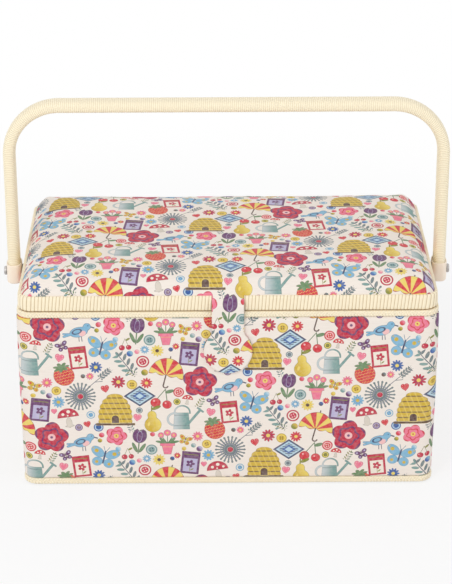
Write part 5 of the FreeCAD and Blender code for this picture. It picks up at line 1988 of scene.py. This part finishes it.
@dataclass
class Studio:
    """Plain white studio with the photograph's camera."""

    focal: float = 2097.0
    image_height: int = 584
    sensor: float = 36.0
    clip_end: float = 100.0
    elevation: float = 24.3
    yaw: float = -0.464
    roll: float = -0.130
    distance: float = 1985.4 * MM
    target: tuple[float, float, float] = (-0.84 * MM, -1.8 * MM, 144.52 * MM)
    ambient: float = 0.64
    floor_half: float = 6.0
    floor_up: float = -0.4 * MM
    floor_shade: float = 0.9
    floor_clear: float = 0.75
    floor_fade: tuple[float, float] = (0.3, 0.9)
    lamps: tuple[Lamp, ...] = (
        Lamp("front_lamp", (-1.3, -2.0, 1.6), 1.0, 22.0),
        Lamp("side_lamp", (1.9, -1.2, 1.1), 1.4, 7.0),
        Lamp("top_lamp", (0.0, 0.3, 2.4), 1.8, 5.0),
    )

    def camera(self) -> None:
        """Camera at the photograph's angle."""
        data = bpy.data.cameras.new("camera")
        data.sensor_width = self.sensor
        data.lens = self.focal * self.sensor / self.image_height
        data.clip_end = self.clip_end
        made = stand("camera", data)
        turn, tilt, roll = (math.radians(angle) for angle in (self.yaw, self.elevation, self.roll))
        back = Vector((math.sin(turn) * math.cos(tilt), -math.cos(turn) * math.cos(tilt), math.sin(tilt)))
        right = Vector((math.cos(turn), math.sin(turn), 0))
        up = back.cross(right)
        side = right * math.cos(roll) + up * math.sin(roll)
        over = up * math.cos(roll) - right * math.sin(roll)
        matrix = Matrix((side, over, back)).transposed().to_4x4()
        matrix.translation = Vector(self.target) + back * self.distance
        made.matrix_world = matrix
        bpy.context.scene.camera = made

    def seen(self, net: Net) -> Wire:
        """Mask of the rays that look straight, by reflection or through glass."""
        path = net.node("LightPath")
        names = ("Is Camera Ray", "Is Glossy Ray", "Is Transmission Ray")
        straight, mirrored, through = (Wire(net, path.outputs[name]) for name in names)
        return straight.most(mirrored).most(through)

    def world(self) -> None:
        """White backdrop and even light all round."""
        world = bpy.data.worlds.new("studio")
        bpy.context.scene.world = world
        world.use_nodes = True
        net = Net(world.node_tree)
        light = world.node_tree.nodes["Background"]
        light.inputs["Color"].default_value = (1.0, 1.0, 1.0, 1.0)
        strength = net.math("MULTIPLY_ADD", self.seen(net), 1.0 - self.ambient, self.ambient)
        net.feed(light.inputs["Strength"], strength)

    def floor_paint(self) -> bpy.types.Material:
        """White paint that fades into the backdrop where it is looked at, and still takes a shadow."""
        paint = bpy.data.materials.new("studio_white")
        paint.use_nodes = True
        net = Net(paint.node_tree)
        nodes = paint.node_tree.nodes
        surface = nodes["Principled BSDF"]
        surface.inputs["Base Color"].default_value = (self.floor_shade,) * 3 + (1.0,)
        surface.inputs["Roughness"].default_value = 0.9
        surface.inputs["Specular IOR Level"].default_value = 0.0
        glow = net.node("Emission")
        mixed = net.node("MixShader")
        x, y, _ = net.split(net.place(Source.FRAME))
        fade = (x * x + y * y).root().rise(*self.floor_fade)
        net.feed(mixed.inputs[0], self.seen(net) * (fade * (1.0 - self.floor_clear) + self.floor_clear))
        net.feed(mixed.inputs[1], Wire(net, surface.outputs[0]))
        net.feed(mixed.inputs[2], Wire(net, glow.outputs[0]))
        net.feed(nodes["Material Output"].inputs["Surface"], Wire(net, mixed.outputs[0]))
        return paint

    def floor(self) -> None:
        """Pale floor, which keeps a soft shadow."""
        mesh = bmesh.new()
        bmesh.ops.create_grid(mesh, x_segments=2, y_segments=2, size=self.floor_half)
        bmesh.ops.translate(mesh, verts=mesh.verts, vec=(0, 0, self.floor_up))
        data = bpy.data.meshes.new("studio_floor")
        mesh.to_mesh(data)
        mesh.free()
        stand("studio_floor", data)
        data.materials.append(self.floor_paint())

    def build(self) -> None:
        """Set up camera, light and floor."""
        bpy.context.scene.view_settings.view_transform = "Standard"
        self.camera()
        self.world()
        self.floor()
        for lamp in self.lamps:
            lamp.build()


def main() -> None:
    """Build the studio and every sub-assembly."""
    logging.basicConfig(level=logging.INFO, format="%(message)s")
    Studio().build()
    Hardware().build()
    Body().build()
    lid = Lid()
    lid.build()
    Tab(cloth_top=lid.front_cloth(Tab.root_top)).build()
    Handle().build()
    bpy.context.view_layer.update()
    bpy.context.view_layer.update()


if __name__ == "__main__":
    main()
